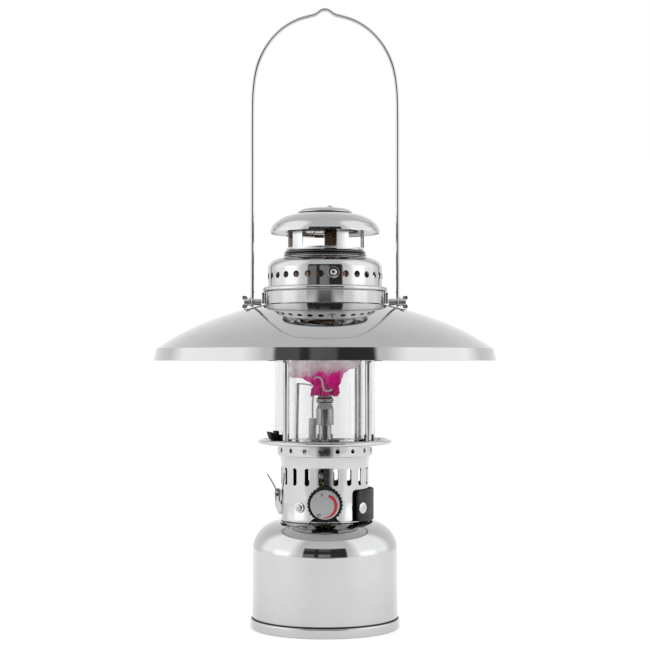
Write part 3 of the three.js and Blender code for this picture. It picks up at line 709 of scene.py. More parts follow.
def make_base():
    radius, height, width = FOOT.radius, FOOT.height, FOOT.flange_width
    wall = 2.3
    flange = 1.6
    foot = [
        (radius - width, 0, 0.4), (radius, 0, 1.6), (radius, height, 1.3),
        (radius - wall, height, 0.3), (radius - wall, flange, 0.6), (radius - width, flange, 0.4),
    ]
    stand_in("foot_ring", turned(foot), CHROME)
    # Painted shade: a black ring laid in the gap between the foot and the cover stands for the dark shadow
    # line of the seam.
    seam_shade = [
        (radius - wall - 0.3, height - 0.3), (radius - 1.5, height - 0.3), (radius - 1.5, height + 0.35),
        (radius - wall - 0.3, height + 0.5),
    ]
    piece("foot_seam_shade", turned(seam_shade), PLASTIC, "lantern_body")

    floor_radius = radius - wall - 0.4
    low = flange + GAP
    high = low + 1.2
    floor = [(0, low)]
    for groove in (22, 38, 54):
        for offset, rise in ((-1.4, 0), (-0.6, 0.5), (0.6, 0.5), (1.4, 0)):
            floor.append((groove + offset, low + rise, 0.4))
    floor += [(floor_radius, low, 0.4), (floor_radius, high, 0.4), (0, high)]
    stand_in("base_plate", turned(floor), STEEL)

    radius, bend = BASE.radius, BASE.shoulder_radius
    hem = [(radius - 0.7, height + GAP), (radius - 0.5, height + 1.0), (radius - 0.1, height + 1.7)]
    side = [(radius, height + 2.4), (radius, height + 8)]
    shoulder = arc(radius - bend, BASE.shoulder_z, bend, bend, 0, 90, 48)
    opening = [(BASE.opening_radius, BASE.shoulder_z + bend)]
    stand_in("base_cover", turned(sheet_outline(hem + side + shoulder + opening)), CHROME)


def make_cartridge():
    radius, wall, low, top = CARTRIDGE.radius, CARTRIDGE.wall, CARTRIDGE.bottom, CARTRIDGE.top
    outside = [
        (0, low + 4), (radius - 8, low, 5), (radius - 1, low), (radius, low + 1.5, 1), (radius, top - 21, 5),
        (radius - 3, top - 14, 3), (22, top - 7, 6), (13, top - 4, 1), (13, top, 0.6), (5.6, top, 0.5),
        (5.6, top + 8, 0.8), (2, top + 8, 0.3),
    ]
    inside = [
        (2, top - 5), (22, top - 8.6), (radius - 4.6, top - 15.4), (radius - wall, top - 21.5),
        (radius - wall, low + wall), (radius - 8, low + wall), (0, low + 4 + wall),
    ]
    stand_in("gas_cartridge", turned(outside + inside, 128), PAINT)


# ---- Valve and knob ----

def make_valve():
    low = CAGE.bottom + 0.1
    high = low + 1.2
    mount = rectangle(10.4, low, CAGE.radius - SHEET - 0.5, high, 0.3)
    stand_in("valve_mount_plate", turned(mount, 160), STEEL)

    top = 123
    hexagon_low = high + GAP
    hexagon_high = 106
    across_flats = 24.6
    outline = [
        (0, 95.4), (10, 95.4, 0.5), (10, hexagon_low, 0.2), (14, hexagon_low, 0.8), (14, hexagon_high, 0.8),
        (13, hexagon_high + 0.4, 0.3), (13, hexagon_high + 1.6, 0.3), (14, hexagon_high + 2, 0.8),
        (14, top - 3, 1.4), (11, top, 1.2), (4, top, 1), (4, top + 6, 0.6), (1.6, top + 8, 0.5), (0, top + 8),
    ]

    def with_flats(angle, radius, z):
        if not hexagon_low - 0.1 < z < hexagon_high + 0.1:
            return radius
        sixth = math.radians(60)
        from_flat = (angle % sixth) - sixth / 2
        return min(radius, across_flats / 2 / math.cos(from_flat))

    body = turned(outline, 120, radius_at=with_flats)
    boss = rod((0, -8, KNOB.z), (0, -24, KNOB.z), 6, rounding=0.8)
    bore = rod((0, -13.5, KNOB.z), (0, -25, KNOB.z), 2.9, rounding=0)
    stand_in("valve_body", cut(joined(body, [boss]), [bore]), BRASS)
    stand_in("valve_stem", rod((0, -14, KNOB.z), (0, -(KNOB.back - GAP), KNOB.z), 2.5), STEEL)


def make_knob():
    """A disc with a toothed rim, and a dial let into its front."""
    radius, face_radius = KNOB.radius, KNOB.face_radius
    length = KNOB.front - KNOB.back
    teeth = 30
    tooth_depth = 0.7
    recess = 1.4
    plain_radius = face_radius + 1.2
    outline = [
        (0, 0), (radius - 2.5, 0, 0.8), (radius, 1.6, 0.8), (radius, length - 0.9, 0.6),
        (radius - 0.9, length, 0.5), (face_radius + GAP, length, 0.5),
        (face_radius + GAP, length - recess, 0.2), (0, length - recess),
    ]

    def toothed(angle, r, z):
        share = min(max((r - plain_radius) / (radius - plain_radius), 0), 1)
        valley = 0.5 - 0.5 * max(-1, min(1, math.sin(teeth * angle) * 2.2))
        return r - tooth_depth * share * valley

    stand_in("valve_knob", turned(outline, teeth * 14, forwards(-KNOB.back), toothed), PLASTIC)

    back = KNOB.front - recess + GAP
    front = KNOB.front - 0.2
    disc = [
        (0, back), (face_radius, back), (face_radius, front - 0.15, 0.3), (face_radius - 0.6, front, 0.3),
        (0, front),
    ]
    stand_in("knob_face", turned(disc, 160, forwards(0)), DIAL)

    film = 0.06  # thickness of the print
    print_y = -(front + film / 2)
    print_place = Matrix.Translation((0, print_y, KNOB.z))
    steps = 48
    outer = []
    inner = []
    for i in range(steps + 1):
        share = i / steps
        angle = math.radians(69 - 174 * share)
        far = 9.4 + 2.7 * share ** 0.8
        near = far - (2.3 + 3.2 * share - 5.3 * share ** 2)
        outer.append((far * math.cos(angle), far * math.sin(angle)))
        inner.append((near * math.cos(angle), near * math.sin(angle)))
    ring_centre = Vector((-5.4, print_y, KNOB.z - 9.2))
    ring = rectangle(0.9, -film / 2, 1.5, film / 2)
    marks = (
        ("dial_crescent", plate(outer + inner[::-1], film, place=print_place), RED_INK),
        ("dial_bar_mark", plate(rectangle(-3.1, 7.0, -2.2, 9.9), film, place=print_place), BLACK_INK),
        ("dial_ring_mark", turned(ring, 40, along(ring_centre, ring_centre - Vector((0, 1, 0)))), BLACK_INK),
    )
    for name, mark, ink_used in marks:
        piece(name, mark, ink_used, "valve_control")


# ---- Burner, spark parts and mantle ----

def make_burner():
    bore, tube_radius = BURNER.bore, BURNER.tube_radius
    tube_top = BURNER.sleeve_bottom - GAP
    tube = [
        (bore, 131.3, 0.3), (8.5, 131.3, 0.6), (8.5, 137, 1), (tube_radius, 142, 2),
        (tube_radius, tube_top, 0.4), (bore, tube_top, 0.2),
    ]
    stand_in("mixing_tube", turned(tube, 96), BURNER_STEEL)

    low = BURNER.sleeve_bottom
    top = BURNER.head_bottom - GAP
    sleeve = [(bore, low, 0.2), (7.9, low, 0.4), (7.9, 195, 0.6), (6.3, top, 0.4), (bore, top, 0.2)]
    screw_at = Vector((2.6, -7.4, 186.5))
    outwards = screw_at + Vector((0.33, -1, 0))
    socket = turned(rectangle(0, 0, 1.5, 4), 32, along(screw_at, outwards))
    slit = plate(rectangle(-0.35, 186, 0.35, 202), 4, place=Matrix.Translation((0, -8, 0)))
    stand_in("burner_sleeve", cut(turned(sleeve, 128), [socket, slit]), BURNER_STEEL)
    screw_place = along(screw_at - Vector((0, -0.1, 0)), outwards)
    screw = slotted([(0, 0), (1.3, 0), (1.3, 0.5, 0.3), (0, 0.6)], screw_place, 2.2, 0.35)
    piece("sleeve_set_screw", screw, STEEL, "lantern_body")

    low, top = BURNER.head_bottom, BURNER.head_top
    head = [
        (bore, low, 0.2), (7, low, 0.4), (8.1, 202.3, 1.2), (7.7, 204.4, 1), (5.9, 205.8, 0.8),
        (7.2, 207.2, 0.5), (7.2, top, 0.5), (bore, top, 0.3),
    ]
    ports = radial_holes(range(0, 360, 45), 5, 10, 202.2, 0.9, 20)
    stand_in("burner_head", cut(turned(head, 128), [ports]), BURNER_STEEL)


def make_spark_parts():
    x, y, top = ELECTRODE.x, ELECTRODE.y, ELECTRODE.insulator_top
    low = ELECTRODE.insulator_bottom
    insulator = [(0, low), (3.6, low, 0.5), (3.6, top, 0.9), (1.1, top, 0.3), (0, top - 0.4)]
    stand_in("electrode_insulator", turned(insulator, 64, Matrix.Translation((x, y, 0))), CERAMIC)
    bends = [(x, y, top + GAP), (x, y, top + 12), (x + 0.6, y, top + 21), (x + 0.8, y, ELECTRODE.tip)]
    stand_in("spark_electrode", swept(spline(bends, 8), 0.8, 24, end_radius=0.6), STEEL)

    foot = GALLERY.plate_top + GAP
    standing = spline([(-26, 12, foot), (-25.6, 12, 185), (-25.2, 12, 205), (-25, 12, 218)], 8)
    crossing = spline([(-25, 12, 217), (-20, 11.4, 217.1), (-15, 10.6, 216.4), (-11.5, 10, 215.8)], 8)
    ground = [swept(standing, GROUND_ROD.radius, 28), swept(crossing, GROUND_ROD.wire_radius, 16)]
    stand_in("ground_rod", merged(ground), CHROME)
    ends = ((GUARD_ROD.x, GUARD_ROD.y, z) for z in (foot, GUARD_ROD.top))
    stand_in("guard_rod", rod(*ends, GUARD_ROD.radius), CHROME)


def make_spark_unit():
    """A box with grooves across its front and back."""
    half_width = SPARK_BOX.width / 2
    low = SPARK_BOX.z - SPARK_BOX.height / 2
    high = SPARK_BOX.z + SPARK_BOX.height / 2
    box = plate(rectangle(-half_width, low, half_width, high, 1.5), SPARK_BOX.depth, edge=0.5)
    groove_pitch = 4
    groove_height = 1.6
    grooves = []
    for i in range(7):
        z = low + 9 + groove_pitch * i
        groove = rectangle(3 - half_width, z, half_width - 3, z + groove_height)
        for side in (-1, 1):
            grooves.append(plate(groove, 0.8, place=Matrix.Translation((0, side * SPARK_BOX.depth / 2, 0))))
    box = cut(box, [merged(grooves)])
    box.transform(Matrix.Translation((SPARK_BOX.x, 0, 0)))
    stand_in("piezo_unit", box, PLASTIC)


def make_ignition_lead():
    """The lead from the spark unit to the foot of the insulator."""
    points = [
        (-21, SPARK_BOX.depth / 2 + 1.5, 112), (-21, 11, 116), (-20, 12, 130), (-14, 10.5, 148),
        (ELECTRODE.x, ELECTRODE.y, ELECTRODE.insulator_bottom - GAP),
    ]
    route = spline(points, 16)
    lead = stand_in("ignition_wire", swept(route, LEAD_RADIUS), PLASTIC)


def mantle_side(name, share):
    """How far out a side of the mantle reaches, and at what height, at a share of the way up."""
    rows = MANTLE_SIDES[name]
    for low, high in zip(rows, rows[1:]):
        if share <= high[0]:
            part = (share - low[0]) / (high[0] - low[0])
            return [a + (b - a) * part for a, b in zip(low[1:], high[1:])]
    return rows[-1][1:]


def crumple(point, size, seed):
    """Sharp ridges between soft hollows, up to 1 high, at about a size in millimetres."""
    value = noise.noise(point / size + Vector((seed, seed * 0.37, -seed)))
    return 1 - 3.2 * abs(value)


def mantle_point(angle, share, sides):
    """A point of the bag, at an angle from the right and a share of the way up its sides."""
    (left, left_z), (right, right_z), (depth, middle_z) = sides
    pleats = 13
    pleat = 0.34 - 0.27 * min(max((share - 0.28) / 0.3, 0), 1)  # how strong the pleats are at this height
    loose = min(1, (1 - share) * 6)  # 0 at the crown, which stays smooth
    head_clearance = 7.9
    wander = 1.9 * math.sin(2 * angle + 0.4) + 1.1 * math.sin(3 * angle) + 0.9 * math.sin(7 * share + angle)
    crease = 1 - abs(math.sin((pleats * angle + wander) / 2)) * 1.7
    leftness = max(-math.cos(angle), 0) ** 2
    rightness = max(math.cos(angle), 0) ** 2
    x = math.cos(angle) * (right if math.cos(angle) > 0 else left)
    z = middle_z + (left_z - middle_z) * leftness + (right_z - middle_z) * rightness
    base = Vector((x, math.sin(angle) * depth, z))
    outwards = Vector((math.cos(angle), math.sin(angle), 0))
    crumpled = (0.9 * crumple(base, 11, 3.1) + 0.55 * crumple(base, 5.2, 8.4)) * loose * (1.0 + 3.2 * pleat)
    point = base + outwards * (pleat * 7.6 * crease + crumpled)
    point.z += 0.8 * math.sin(5 * angle + 0.7) * max(0, 1 - share * 12)
    point.z += 0.5 * crumple(base, 7, 5.2) * min(1, share * 9) * loose
    reach = math.hypot(point.x, point.y)
    if z < BURNER.head_top + 1.5 and reach < head_clearance:
        point.x *= head_clearance / reach
        point.y *= head_clearance / reach
    return point


def make_mantle():
    """A net bag, gathered by a cord at its mouth. Its folds are deepest where it is gathered."""
    across = 288
    rows = 100
    shape = bmesh.new()
    uv_layer = shape.loops.layers.uv.new("net")
    grid = []
    for i in range(rows):
        share = i / rows
        sides = [mantle_side(name, share) for name in MANTLE_SIDES]
        angles = [2 * math.pi * k / across for k in range(across)]
        grid.append([shape.verts.new(mantle_point(angle, share, sides)) for angle in angles])
    for i, (below, above) in enumerate(zip(grid, grid[1:])):
        for k in range(across):
            n = (k + 1) % across
            face = shape.faces.new((below[k], below[n], above[n], above[k]))
            for loop, (u, v) in zip(face.loops, ((k, i), (k + 1, i), (k + 1, i + 1), (k, i + 1))):
                loop[uv_layer].uv = (u / across, v / rows)
    crown = shape.verts.new((0, 0, MANTLE_SIDES["middle"][-1][2]))
    for k in range(across):
        face = shape.faces.new((grid[-1][k], grid[-1][(k + 1) % across], crown))
        for loop, u in zip(face.loops, (k, k + 1, k + 0.5)):
            loop[uv_layer].uv = (u / across, 1)
    mantle = stand_in("mantle", closed_up(shape), CLOTH)

    tie_radius = 0.72
    gather_radius = 0.5
    tie = spline([
        (-9.6, -11.0, 222), (-7.0, -12.6, 223.2), (-4.0, -13.0, 222.3), (-2.4, -13.0, 219.2),
        (-1.9, -12.6, 215.6), (-0.9, -12.2, 212.4), (1.4, -12.0, 211.2), (4.0, -12.0, 211.5),
        (6.6, -11.4, 212.8),
    ], 10)
    string = piece("mantle_tie_cord", swept(tie, tie_radius, 16), CORD, "lantern_body")
    steps = 96
    loop = []
    for k in range(steps + 1):
        angle = 2 * math.pi * k / steps
        loop.append((8.7 * math.cos(angle), 8.4 * math.sin(angle), 211.2 + 0.5 * math.sin(3 * angle)))
    gather = piece("mantle_gather_cord", swept(loop, gather_radius, 14), CORD, "lantern_body")


# ---- Igniter lever ----

def plunger_hole():
    return rod((-42, 0, IGNITER.plunger_z), (-36, 0, IGNITER.plunger_z), 1.9, rounding=0)


def make_igniter():
    pivot_x, pivot_z, plunger_z = IGNITER.pivot_x, IGNITER.pivot_z, IGNITER.plunger_z
    half = IGNITER.half_width
    arm_width = 6
    sheet = 1

    def on_pivot(half_length, radius, rounding=0.0):
        ends = ((pivot_x, y, pivot_z) for y in (-half_length, half_length))
        return rod(*ends, radius, rounding=rounding)

    cheek = [
        (-39.6, 122.6, 0.5), (-43.8, 123.4, 2), (-45, 120, 1), (-44.8, 107.5, 2), (-41.5, 100.6, 1),
        (-39.6, 100.6),
    ]
    channel = plate(rectangle(-50, 95, -40.6, 130), (half - sheet) * 2)
    bracket = cut(plate(cheek, half * 2, edge=0.25), [channel, on_pivot(8, 1.3), plunger_hole()])
    stand_in("igniter_bracket", bracket, CHROME)

    front = spline([(-43.9, 109), (-44.0, 115), (-44.4, 121), (-47.2, 127.6), (-52.0, 135.7)], 8)
    back = spline([(-51.3, 136.7), (-46.2, 128.4), (-43.2, 122), (-42.6, 115), (-42.6, 109)], 8)
    arm = plate(front + [(-52.1, 136.3), (-51.8, 136.7)] + back, arm_width, edge=0.3)
    knuckle = on_pivot(arm_width / 2, 2.1, 0.3)
    stand_in("igniter_lever", cut(joined(arm, [knuckle]), [on_pivot(8, 1.3)]), CHROME)
    stand_in("igniter_pin", on_pivot(5.8, 1, 0.5), STEEL)
    stand_in("piezo_plunger", rod((-42.2, 0, plunger_z), (-39.1, 0, plunger_z), 1.6, rounding=0.5), PLASTIC)


# ---- Cage and grip ----

def make_cage():
    radius, low, flare_z = CAGE.radius, CAGE.bottom, CAGE.flare_z
    band_radius, band_z, top = CAGE.band_radius, CAGE.band_z, CAGE.top
    foot_bead = ((0.3, 0), (0.75, 0.5), (0.75, 1.1), (0.2, 1.8))
    side = [(radius + out, low + up) for out, up in (*foot_bead, (0, 2.3), (0, 20))]
    flare = spline([
        (radius, flare_z - 5), (radius + 0.15, flare_z), (radius + 1.0, band_z - 4),
        (radius + 1.9, band_z - 1.2),
    ], 8)
    step = arc(band_radius - 0.8, band_z + 0.5, 0.8, 0.8, -90, 0, 8)
    outer = side + flare + step + [(band_radius, top)]
    calm = [
        (radius, low), (radius, flare_z), (radius + 1.0, band_z - 4), (band_radius - 0.4, band_z),
        (band_radius, band_z + 2), (band_radius, top),
    ]
    wall = turned(sheet_outline(outer, 0.7, calm), FINE_ROUND)
    openings = [cage_slot(angle) for angle in ring_angles(CAGE_SLOTS)]
    openings.append(radial_holes(ring_angles(CAGE_HOLES), radius - 4, band_radius + 4, CAGE_HOLES.z,
                                 CAGE_HOLES.radius, 32))
    stand_in("burner_cage", cut(wall, [front_notch(), merged(openings), plunger_hole()]), CHROME)
    for name, angle in CAGE_SCREWS.items():
        stand_in(name, wall_screw(angle, radius, CAGE_SCREW_Z, WASHER_RADIUS["cage"]), CHROME)


def front_notch():
    """The cutter for the opening that the valve stem passes through."""
    low = CAGE.bottom
    mouth, slot, rise = 14.5, 4, 4.5
    right = [
        (mouth + 1, low - 1), (mouth - rise, low + rise, 1), (slot, low + rise, 0.6), (slot, KNOB.z + 2, 2),
        (slot / 2, KNOB.z + 4.5, 1.5),
    ]
    left = [(-corner[0], *corner[1:]) for corner in right[::-1]]
    return plate(right + left, 12, place=Matrix.Translation((0, -CAGE.radius, 0)))


def cage_slot(degrees):
    half = CAGE_SLOTS.width / 2
    straight = (CAGE_SLOTS.height - CAGE_SLOTS.width) / 2
    outline = arc(0, straight, half, half, 0, 180, 20) + arc(0, -straight, half, half, 180, 360, 20)
    out_to_wall = Matrix.Translation((0, -CAGE.radius, CAGE_SLOTS.z))
    return plate(outline, 8, place=Matrix.Rotation(math.radians(degrees), 4, "Z") @ out_to_wall)


def slotted(outline, place, slot_length, slot_width, depth=0.4, crossed=False):
    """A small turned head with a screwdriver slot, or a cross, cut into its top."""
    head = turned(outline, SMALL)
    top = max(corner[1] for corner in outline)
    half = slot_length / 2
    for degrees in (0, 90) if crossed else (30,):
        slot = rectangle(-half, top - depth, half, top + 1)
        head = cut(head, [plate(slot, slot_width, place=Matrix.Rotation(math.radians(degrees), 4, "Z"))])
    head.transform(place)
    return head


def wall_screw(degrees, wall_radius, z, washer_radius):
    """A domed screw on its washer, standing out from a wall."""
    place = along(around(degrees, wall_radius + GAP, z), around(degrees, wall_radius + 10, z))
    outline = [
        (0, 0), (washer_radius, 0, 0.2), (washer_radius, 0.8, 0.3), (3.0, 0.85), (2.9, 1.3, 0.3),
        (2.4, 2.05, 0.6), (1.2, 2.4, 0.5), (0, 2.5),
    ]
    return slotted(outline, place, 2.9, 0.55, 0.9, crossed=True)


def make_grip():
    """A leather pad, bent round the right side of the cage and held by two rivets."""
    outer, rivet_z = GRIP.outer, GRIP.rivet_z
    bend = (GRIP.inner + outer) / 2
    reach = bend * math.asin(GRIP.half_length / outer)  # along the bend from its middle to an end
    outline = rounded(rectangle(-reach, GRIP.bottom, reach, GRIP.top, GRIP.corner), steps=10)
    holes = []
    for angle in GRIP_RIVETS.values():
        x = bend * math.radians(angle - 90)
        holes.append(rod((x, -5, rivet_z), (x, 5, rivet_z), 2.4, 40, 0))
    pad = cut(plate(outline, outer - GRIP.inner, edge=0.75), holes)
    stand_in("leather_grip", bent(pad, bend, 90, reach, cells=int(2 * reach / 1.2)), LEATHER)

    stand = outer - CAGE.radius
    rivet = [
        (0, 0), (2, 0, 0.2), (2, stand), (5, stand, 0.2), (5, stand + 0.7, 0.4), (3.4, stand + 1.05, 0.6),
        (1.5, stand + 1.25, 0.3), (1.1, stand + 0.7, 0.2), (0, stand + 0.6),
    ]
    for name, angle in GRIP_RIVETS.items():
        place = along(around(angle, CAGE.radius + GAP, rivet_z), around(angle, outer + 5, rivet_z))
        stand_in(name, turned(rivet, SMALL, place), CHROME)


# ---- Gallery, glass and frame ----

def make_gallery():
    roll = GALLERY.roll_radius
    top, seat = GALLERY.plate_top, GALLERY.seat_top
    hole = BURNER.tube_radius + 0.4
    edge = POSTS.circle + POSTS.radius + 0.5
    under = [(hole, top - SHEET), (42.6, top - SHEET, 0.8), (44.6, seat - SHEET, 0.8), (edge, seat - SHEET)]
    over = [(edge, seat), (44.2, seat, 0.8), (42, top, 0.8), (hole, top)]
    rim = arc(GALLERY.radius - roll, GALLERY.roll_z, roll, roll, -135, 135, 32)
    x, y = ELECTRODE.x, ELECTRODE.y
    opening = rod((x, y, top - 4), (x, y, seat + 2), 3.9, SMALL, 0)
    pressing = turned(rounded(under) + rim + rounded(over), FINE_ROUND)
    stand_in("gallery_plate", cut(pressing, [opening]), CHROME)
    ring = rectangle(SEAT_RING.inner, top + GAP, SEAT_RING.outer, SEAT_RING.top, 0.2, 0.2, 0.5, 0.5)
    stand_in("glass_seat_ring", turned(ring), CHROME)


def make_glass():
    outer, low = GLASS.radius, GLASS.bottom
    tube = rectangle(outer - GLASS.wall, low, outer, GLASS.top, 0.9)
    stand_in("glass_globe", turned(rounded(tube, steps=8)), GLASS_CLEAR)
    for name, angle in GLOBE_CLIPS.items():
        stand_in(name, curved_plate(outer + 0.35, outer + 2.1, low, low + 6.8, angle, 7.4, 0.5), PLASTIC)


def make_latch():
    """A small lever beside the left clip, curled outwards for a thumb."""
    under = spline([(-50.3, 166.2), (-53.6, 168.8), (-55.5, 172), (-56.4, 175.2)], 8)
    over = spline([(-56.0, 175.4), (-53.6, 174.4), (-51.2, 173.7), (-50.1, 174.2), (-50.1, 176)], 6)
    outline = [(-47.9, 166.2)] + under + over + [(-47.9, 176)]
    place = Matrix.Rotation(math.radians(90 + LATCH_ANGLE), 4, "Z")
    stand_in("globe_latch_lever", plate(outline, 8, edge=0.5, place=place), PLASTIC)


def make_posts():
    for place, angle in POST_ANGLES.items():
        ends = (around(angle + POSTS.turn, POSTS.circle, z) for z in (GALLERY.seat_top + GAP, POSTS.top))
        stand_in(f"frame_post_{place}", rod(*ends, POSTS.radius, 64, 0.5), CHROME)
    low = POSTS.top + GAP
    ring = rectangle(TOP_RING.inner, low, TOP_RING.outer, low + TOP_RING.height, 0.4, 0.4, 0.5, 0.5)
    stand_in("frame_top_ring", turned(ring), STEEL)


# ---- Shade, hood, vent and cap ----

def make_shade():
    dome = spline([
        (SHADE.crease_radius, SHADE.crease_z), (130.5, 261.5), (108, 272), (81, 281.5),
        (SHADE.top_radius, SHADE.top_z),
    ], 20)
    rim = [(SHADE.rim_radius, SHADE.rim_z), (SHADE.rim_radius - 0.5, SHADE.rim_z + 2.2)]
    line = rim + dome + [(50.5, SHADE.top_z + 0.1)]
    shade = stand_in("shade", turned(sheet_outline(line, 1.1), 320), CHROME)
    shade.data.materials.append(SHADE_INSIDE)
    for face in shade.data.polygons:
        above_rim = face.center.z > (SHADE.rim_z + 1) * MM
        face.material_index = int(above_rim and face.normal.z < -0.05)


def make_hood():
    radius, flange, top = BAND.radius, BAND.flange_radius, BAND.top
    band = [
        (radius - SHEET, BAND.bottom, 0.3), (radius, BAND.bottom, 0.3), (radius, top - 4.4, 0.6),
        (flange, top - 3.4, 0.7), (flange, top - 1.2, 0.8), (flange - 1.2, top, 0.8), (radius - 4, top, 0.3),
        (radius - 4, top - SHEET, 0.2), (radius - SHEET, top - 1.8, 0.4),
    ]
    stand_in("hood_band", turned(band), CHROME)

    radius = DRUM.radius
    inner = 38  # where the shoulder ends
    shoulder = arc(inner, DRUM.shoulder_z, radius - inner, DRUM.neck_z - DRUM.shoulder_z, 0, 90, 40)
    neck = [(36.4, DRUM.neck_z + 0.6), (35.9, 332.6), (35.5, 334.6), (DRUM.neck_radius, DRUM.top)]
    wall = turned(sheet_outline([(radius, DRUM.bottom)] + shoulder + neck), FINE_ROUND)
    angles = ring_angles(DRUM_HOLES)
    pierced = [angle for i, angle in enumerate(angles) if i not in HOOD_SCREWS.values()]
    holes = radial_holes(pierced, radius - 4, radius + 4, DRUM_HOLES.z, DRUM_HOLES.radius, 40)
    stand_in("hood_drum", cut(wall, [holes]), CHROME)

    beads = arc(36.3, 332.3, 1.1, 1.0, -90, 90, 14) + arc(35.7, 334.9, 1.2, 1.1, -80, 80, 14)
    beads = [(35.7, 331.2)] + beads + [(35.55, 336.4), (35.3, 336.4)]
    piece("drum_neck_beads", turned(beads), DARK_CHROME, "lantern_body")
    for name, i in HOOD_SCREWS.items():
        stand_in(name, wall_screw(angles[i], radius, DRUM_HOLES.z + 1, WASHER_RADIUS["hood"]), CHROME)

    chimney = sheet_outline([(32, 296), (32, 330), (32.4, 333), (33.4, 336.4)])
    stand_in("inner_chimney", turned(chimney, 160), HEATED)


def make_vent():
    """A collar with tall windows between its strips."""
    radius, low, top = VENT.radius, VENT.bottom, VENT.top
    pitch = 360 / VENT.strips
    half = (pitch - math.degrees(VENT.strip_width / radius)) / 2
    windows = []
    for i in range(VENT.strips):
        centre = VENT.phase + pitch * (i + 0.5)
        wedge = [Vector((0, 0, 0)), around(centre - half, radius * 1.5), around(centre + half, radius * 1.5)]
        window = bmesh.new()
        floor, ceiling = ([window.verts.new((p.x, p.y, z)) for p in wedge] for z in (low + 2, top - 3))
        window.faces.new(floor)
        window.faces.new(ceiling)
        for a in range(3):
            b = (a + 1) % 3
            window.faces.new((floor[a], floor[b], ceiling[b], ceiling[a]))
        windows.append(closed_up(window))
    tube = turned(rectangle(radius - SHEET, low, radius, top, 0.3), FINE_ROUND)
    stand_in("vent_collar", cut(tube, windows), BROWNED_INSIDE)


def make_cap():
    radius, rim_z, top = CAP.radius, CAP.rim_z, CAP.top
    dome = spline([
        (radius - 0.7, 356.2), (46, 361), (40, 365.5), (34, 368), (25, 370), (12, 370.25), (0, top),
    ])
    line = [(radius, rim_z), (radius - 0.1, rim_z + 1.6)] + dome[:-1] + [(0, top)]
    stand_in("hood_cap", turned(sheet_outline(line)), CHROME)

    radius, low = CAP.crown_radius, CAP.crown_z
    edge = [(0, low), (radius, low, 0.3), (radius, low + 0.7, 0.3), (radius - 0.5, low + 1.0)]
    top = spline([edge[-1], (22.4, low + 2.6), (19, low + 3.7), (12, low + 4.3), (0, low + 4.5)], 10)
    stand_in("cap_crown", turned(rounded(edge) + top[:-1] + [(0, low + 4.5)], 160), CHROME)
    screw = [(0, 0), (4.5, 0, 0.2), (4.5, 0.7, 0.3), (2.9, 0.8), (2.8, 1.4, 0.3), (2.0, 2.05, 0.5), (0, 2.2)]
    stand_in("cap_screw", slotted(screw, Matrix.Translation((4.5, 0, 375.5)), 3.2, 0.6, 0.7), CHROME)


# ---- Bail and wing nuts ----

def make_pivot_stud(side, name):
    """A plain sleeve with a threaded end."""
    sleeve_length, length, pitch, thread_depth = 6, 15.2, 0.9, 0.22
    sleeve, thin = PIVOT.sleeve_radius, PIVOT.stud_radius
    outline = rounded([(0, 0), (sleeve, 0, 0.3), (sleeve, sleeve_length, 0.4), (thin, sleeve_length)])
    threads_from = sleeve_length + 3
    cells = 90
    for i in range(cells + 1):
        outline.append((thin, threads_from + (length - 0.4 - threads_from) * i / cells))
    outline += [(thin - 0.4, length), (0, length)]

    def threaded(angle, radius, height):
        if height < threads_from or radius < thin - 0.1:
            return radius
        wave = 0.5 + 0.5 * math.cos(2 * math.pi * height / pitch - angle)
        return radius - thread_depth * wave

    stand_in(f"pivot_stud_{name}", turned(outline, SMALL, sideways(side, 57.4), threaded), STEEL)


def make_bail_side(side, name):
    ear = curved_plate(EAR.inner, EAR.outer, EAR.bottom, EAR.top, 90 * side, EAR.half_width, 0.4)
    stand_in(f"bail_ear_{name}", ear, CHROME)
    make_pivot_stud(side, name)
    hole_radius = PIVOT.hole_radius
    washer = turned(rectangle(hole_radius, 0, 4.4, 0.7, 0.1, 0.2, 0.2, 0.1), SMALL, sideways(side, 67.3))
    piece(f"bail_washer_{name}", washer, STEEL, "lantern_body")

    inner, tip, span = WING_NUT.inner, WING_NUT.tip, WING_NUT.span
    upper = [
        (inner + 1.2, 0), (inner + 1.0, 2.2, 1), (inner + 1.7, span, 1.6), (tip - 0.2, span, 1.6),
        (tip - 0.1, span - 2.2, 1), (tip - 0.9, 1.8, 1), (tip - 1.0, 0),
    ]
    lower = [(x, -up, *more) for x, up, *more in upper[-2:0:-1]]
    wings = plate([(side * x, PIVOT.z + up, *more) for x, up, *more in upper + lower], 1.6, edge=0.4)
    radius, length = WING_NUT.hub_radius, WING_NUT.hub_length
    hub_outline = [(0, 0), (radius, 0, 0.4), (radius - 0.2, length, 0.7), (0, length)]
    hub = turned(hub_outline, SMALL, sideways(side, inner))
    hole = rod((side * (inner - 1), 0, PIVOT.z), (side * (tip + 1), 0, PIVOT.z), hole_radius, 40, 0)
    stand_in(f"wing_nut_{name}", cut(joined(wings, [hub]), [hole]), CHROME)


def make_bail():
    """One wire, bent to a point at the top and coiled to a flat eye at each foot."""
    leg, eye, hole = BAIL.leg_x, BAIL.eye_radius, PIVOT.hole_radius
    foot = PIVOT.z + eye - 1
    right = [(leg, foot), (leg, foot + 60), (leg, BAIL.straight_top - 50), (leg, BAIL.straight_top)]
    right += [
        (64.6, 484), (61.7, 502), (56.8, 515), (49.6, 526.6), (40.8, 536), (32, 542.2), (23.4, 546.4),
        (14, 549.2), (8.5, 550.8), (3.6, 554.2),
    ]
    left = [(-x, height) for x, height in right[::-1]]
    route = [Vector((x, 0, height)) for x, height in right + [(0, BAIL.peak)] + left]
    wire = swept(spline(route, 14), BAIL.wire_radius, 28)
    section = arc((eye + hole) / 2, 0, (eye - hole) / 2, 1.5, 0, 345, 23)
    eyes = [turned(section, 72, sideways(side, leg)) for side in (-1, 1)]
    stand_in("bail", joined(wire, eyes), CHROME)


# ---- Studio ----

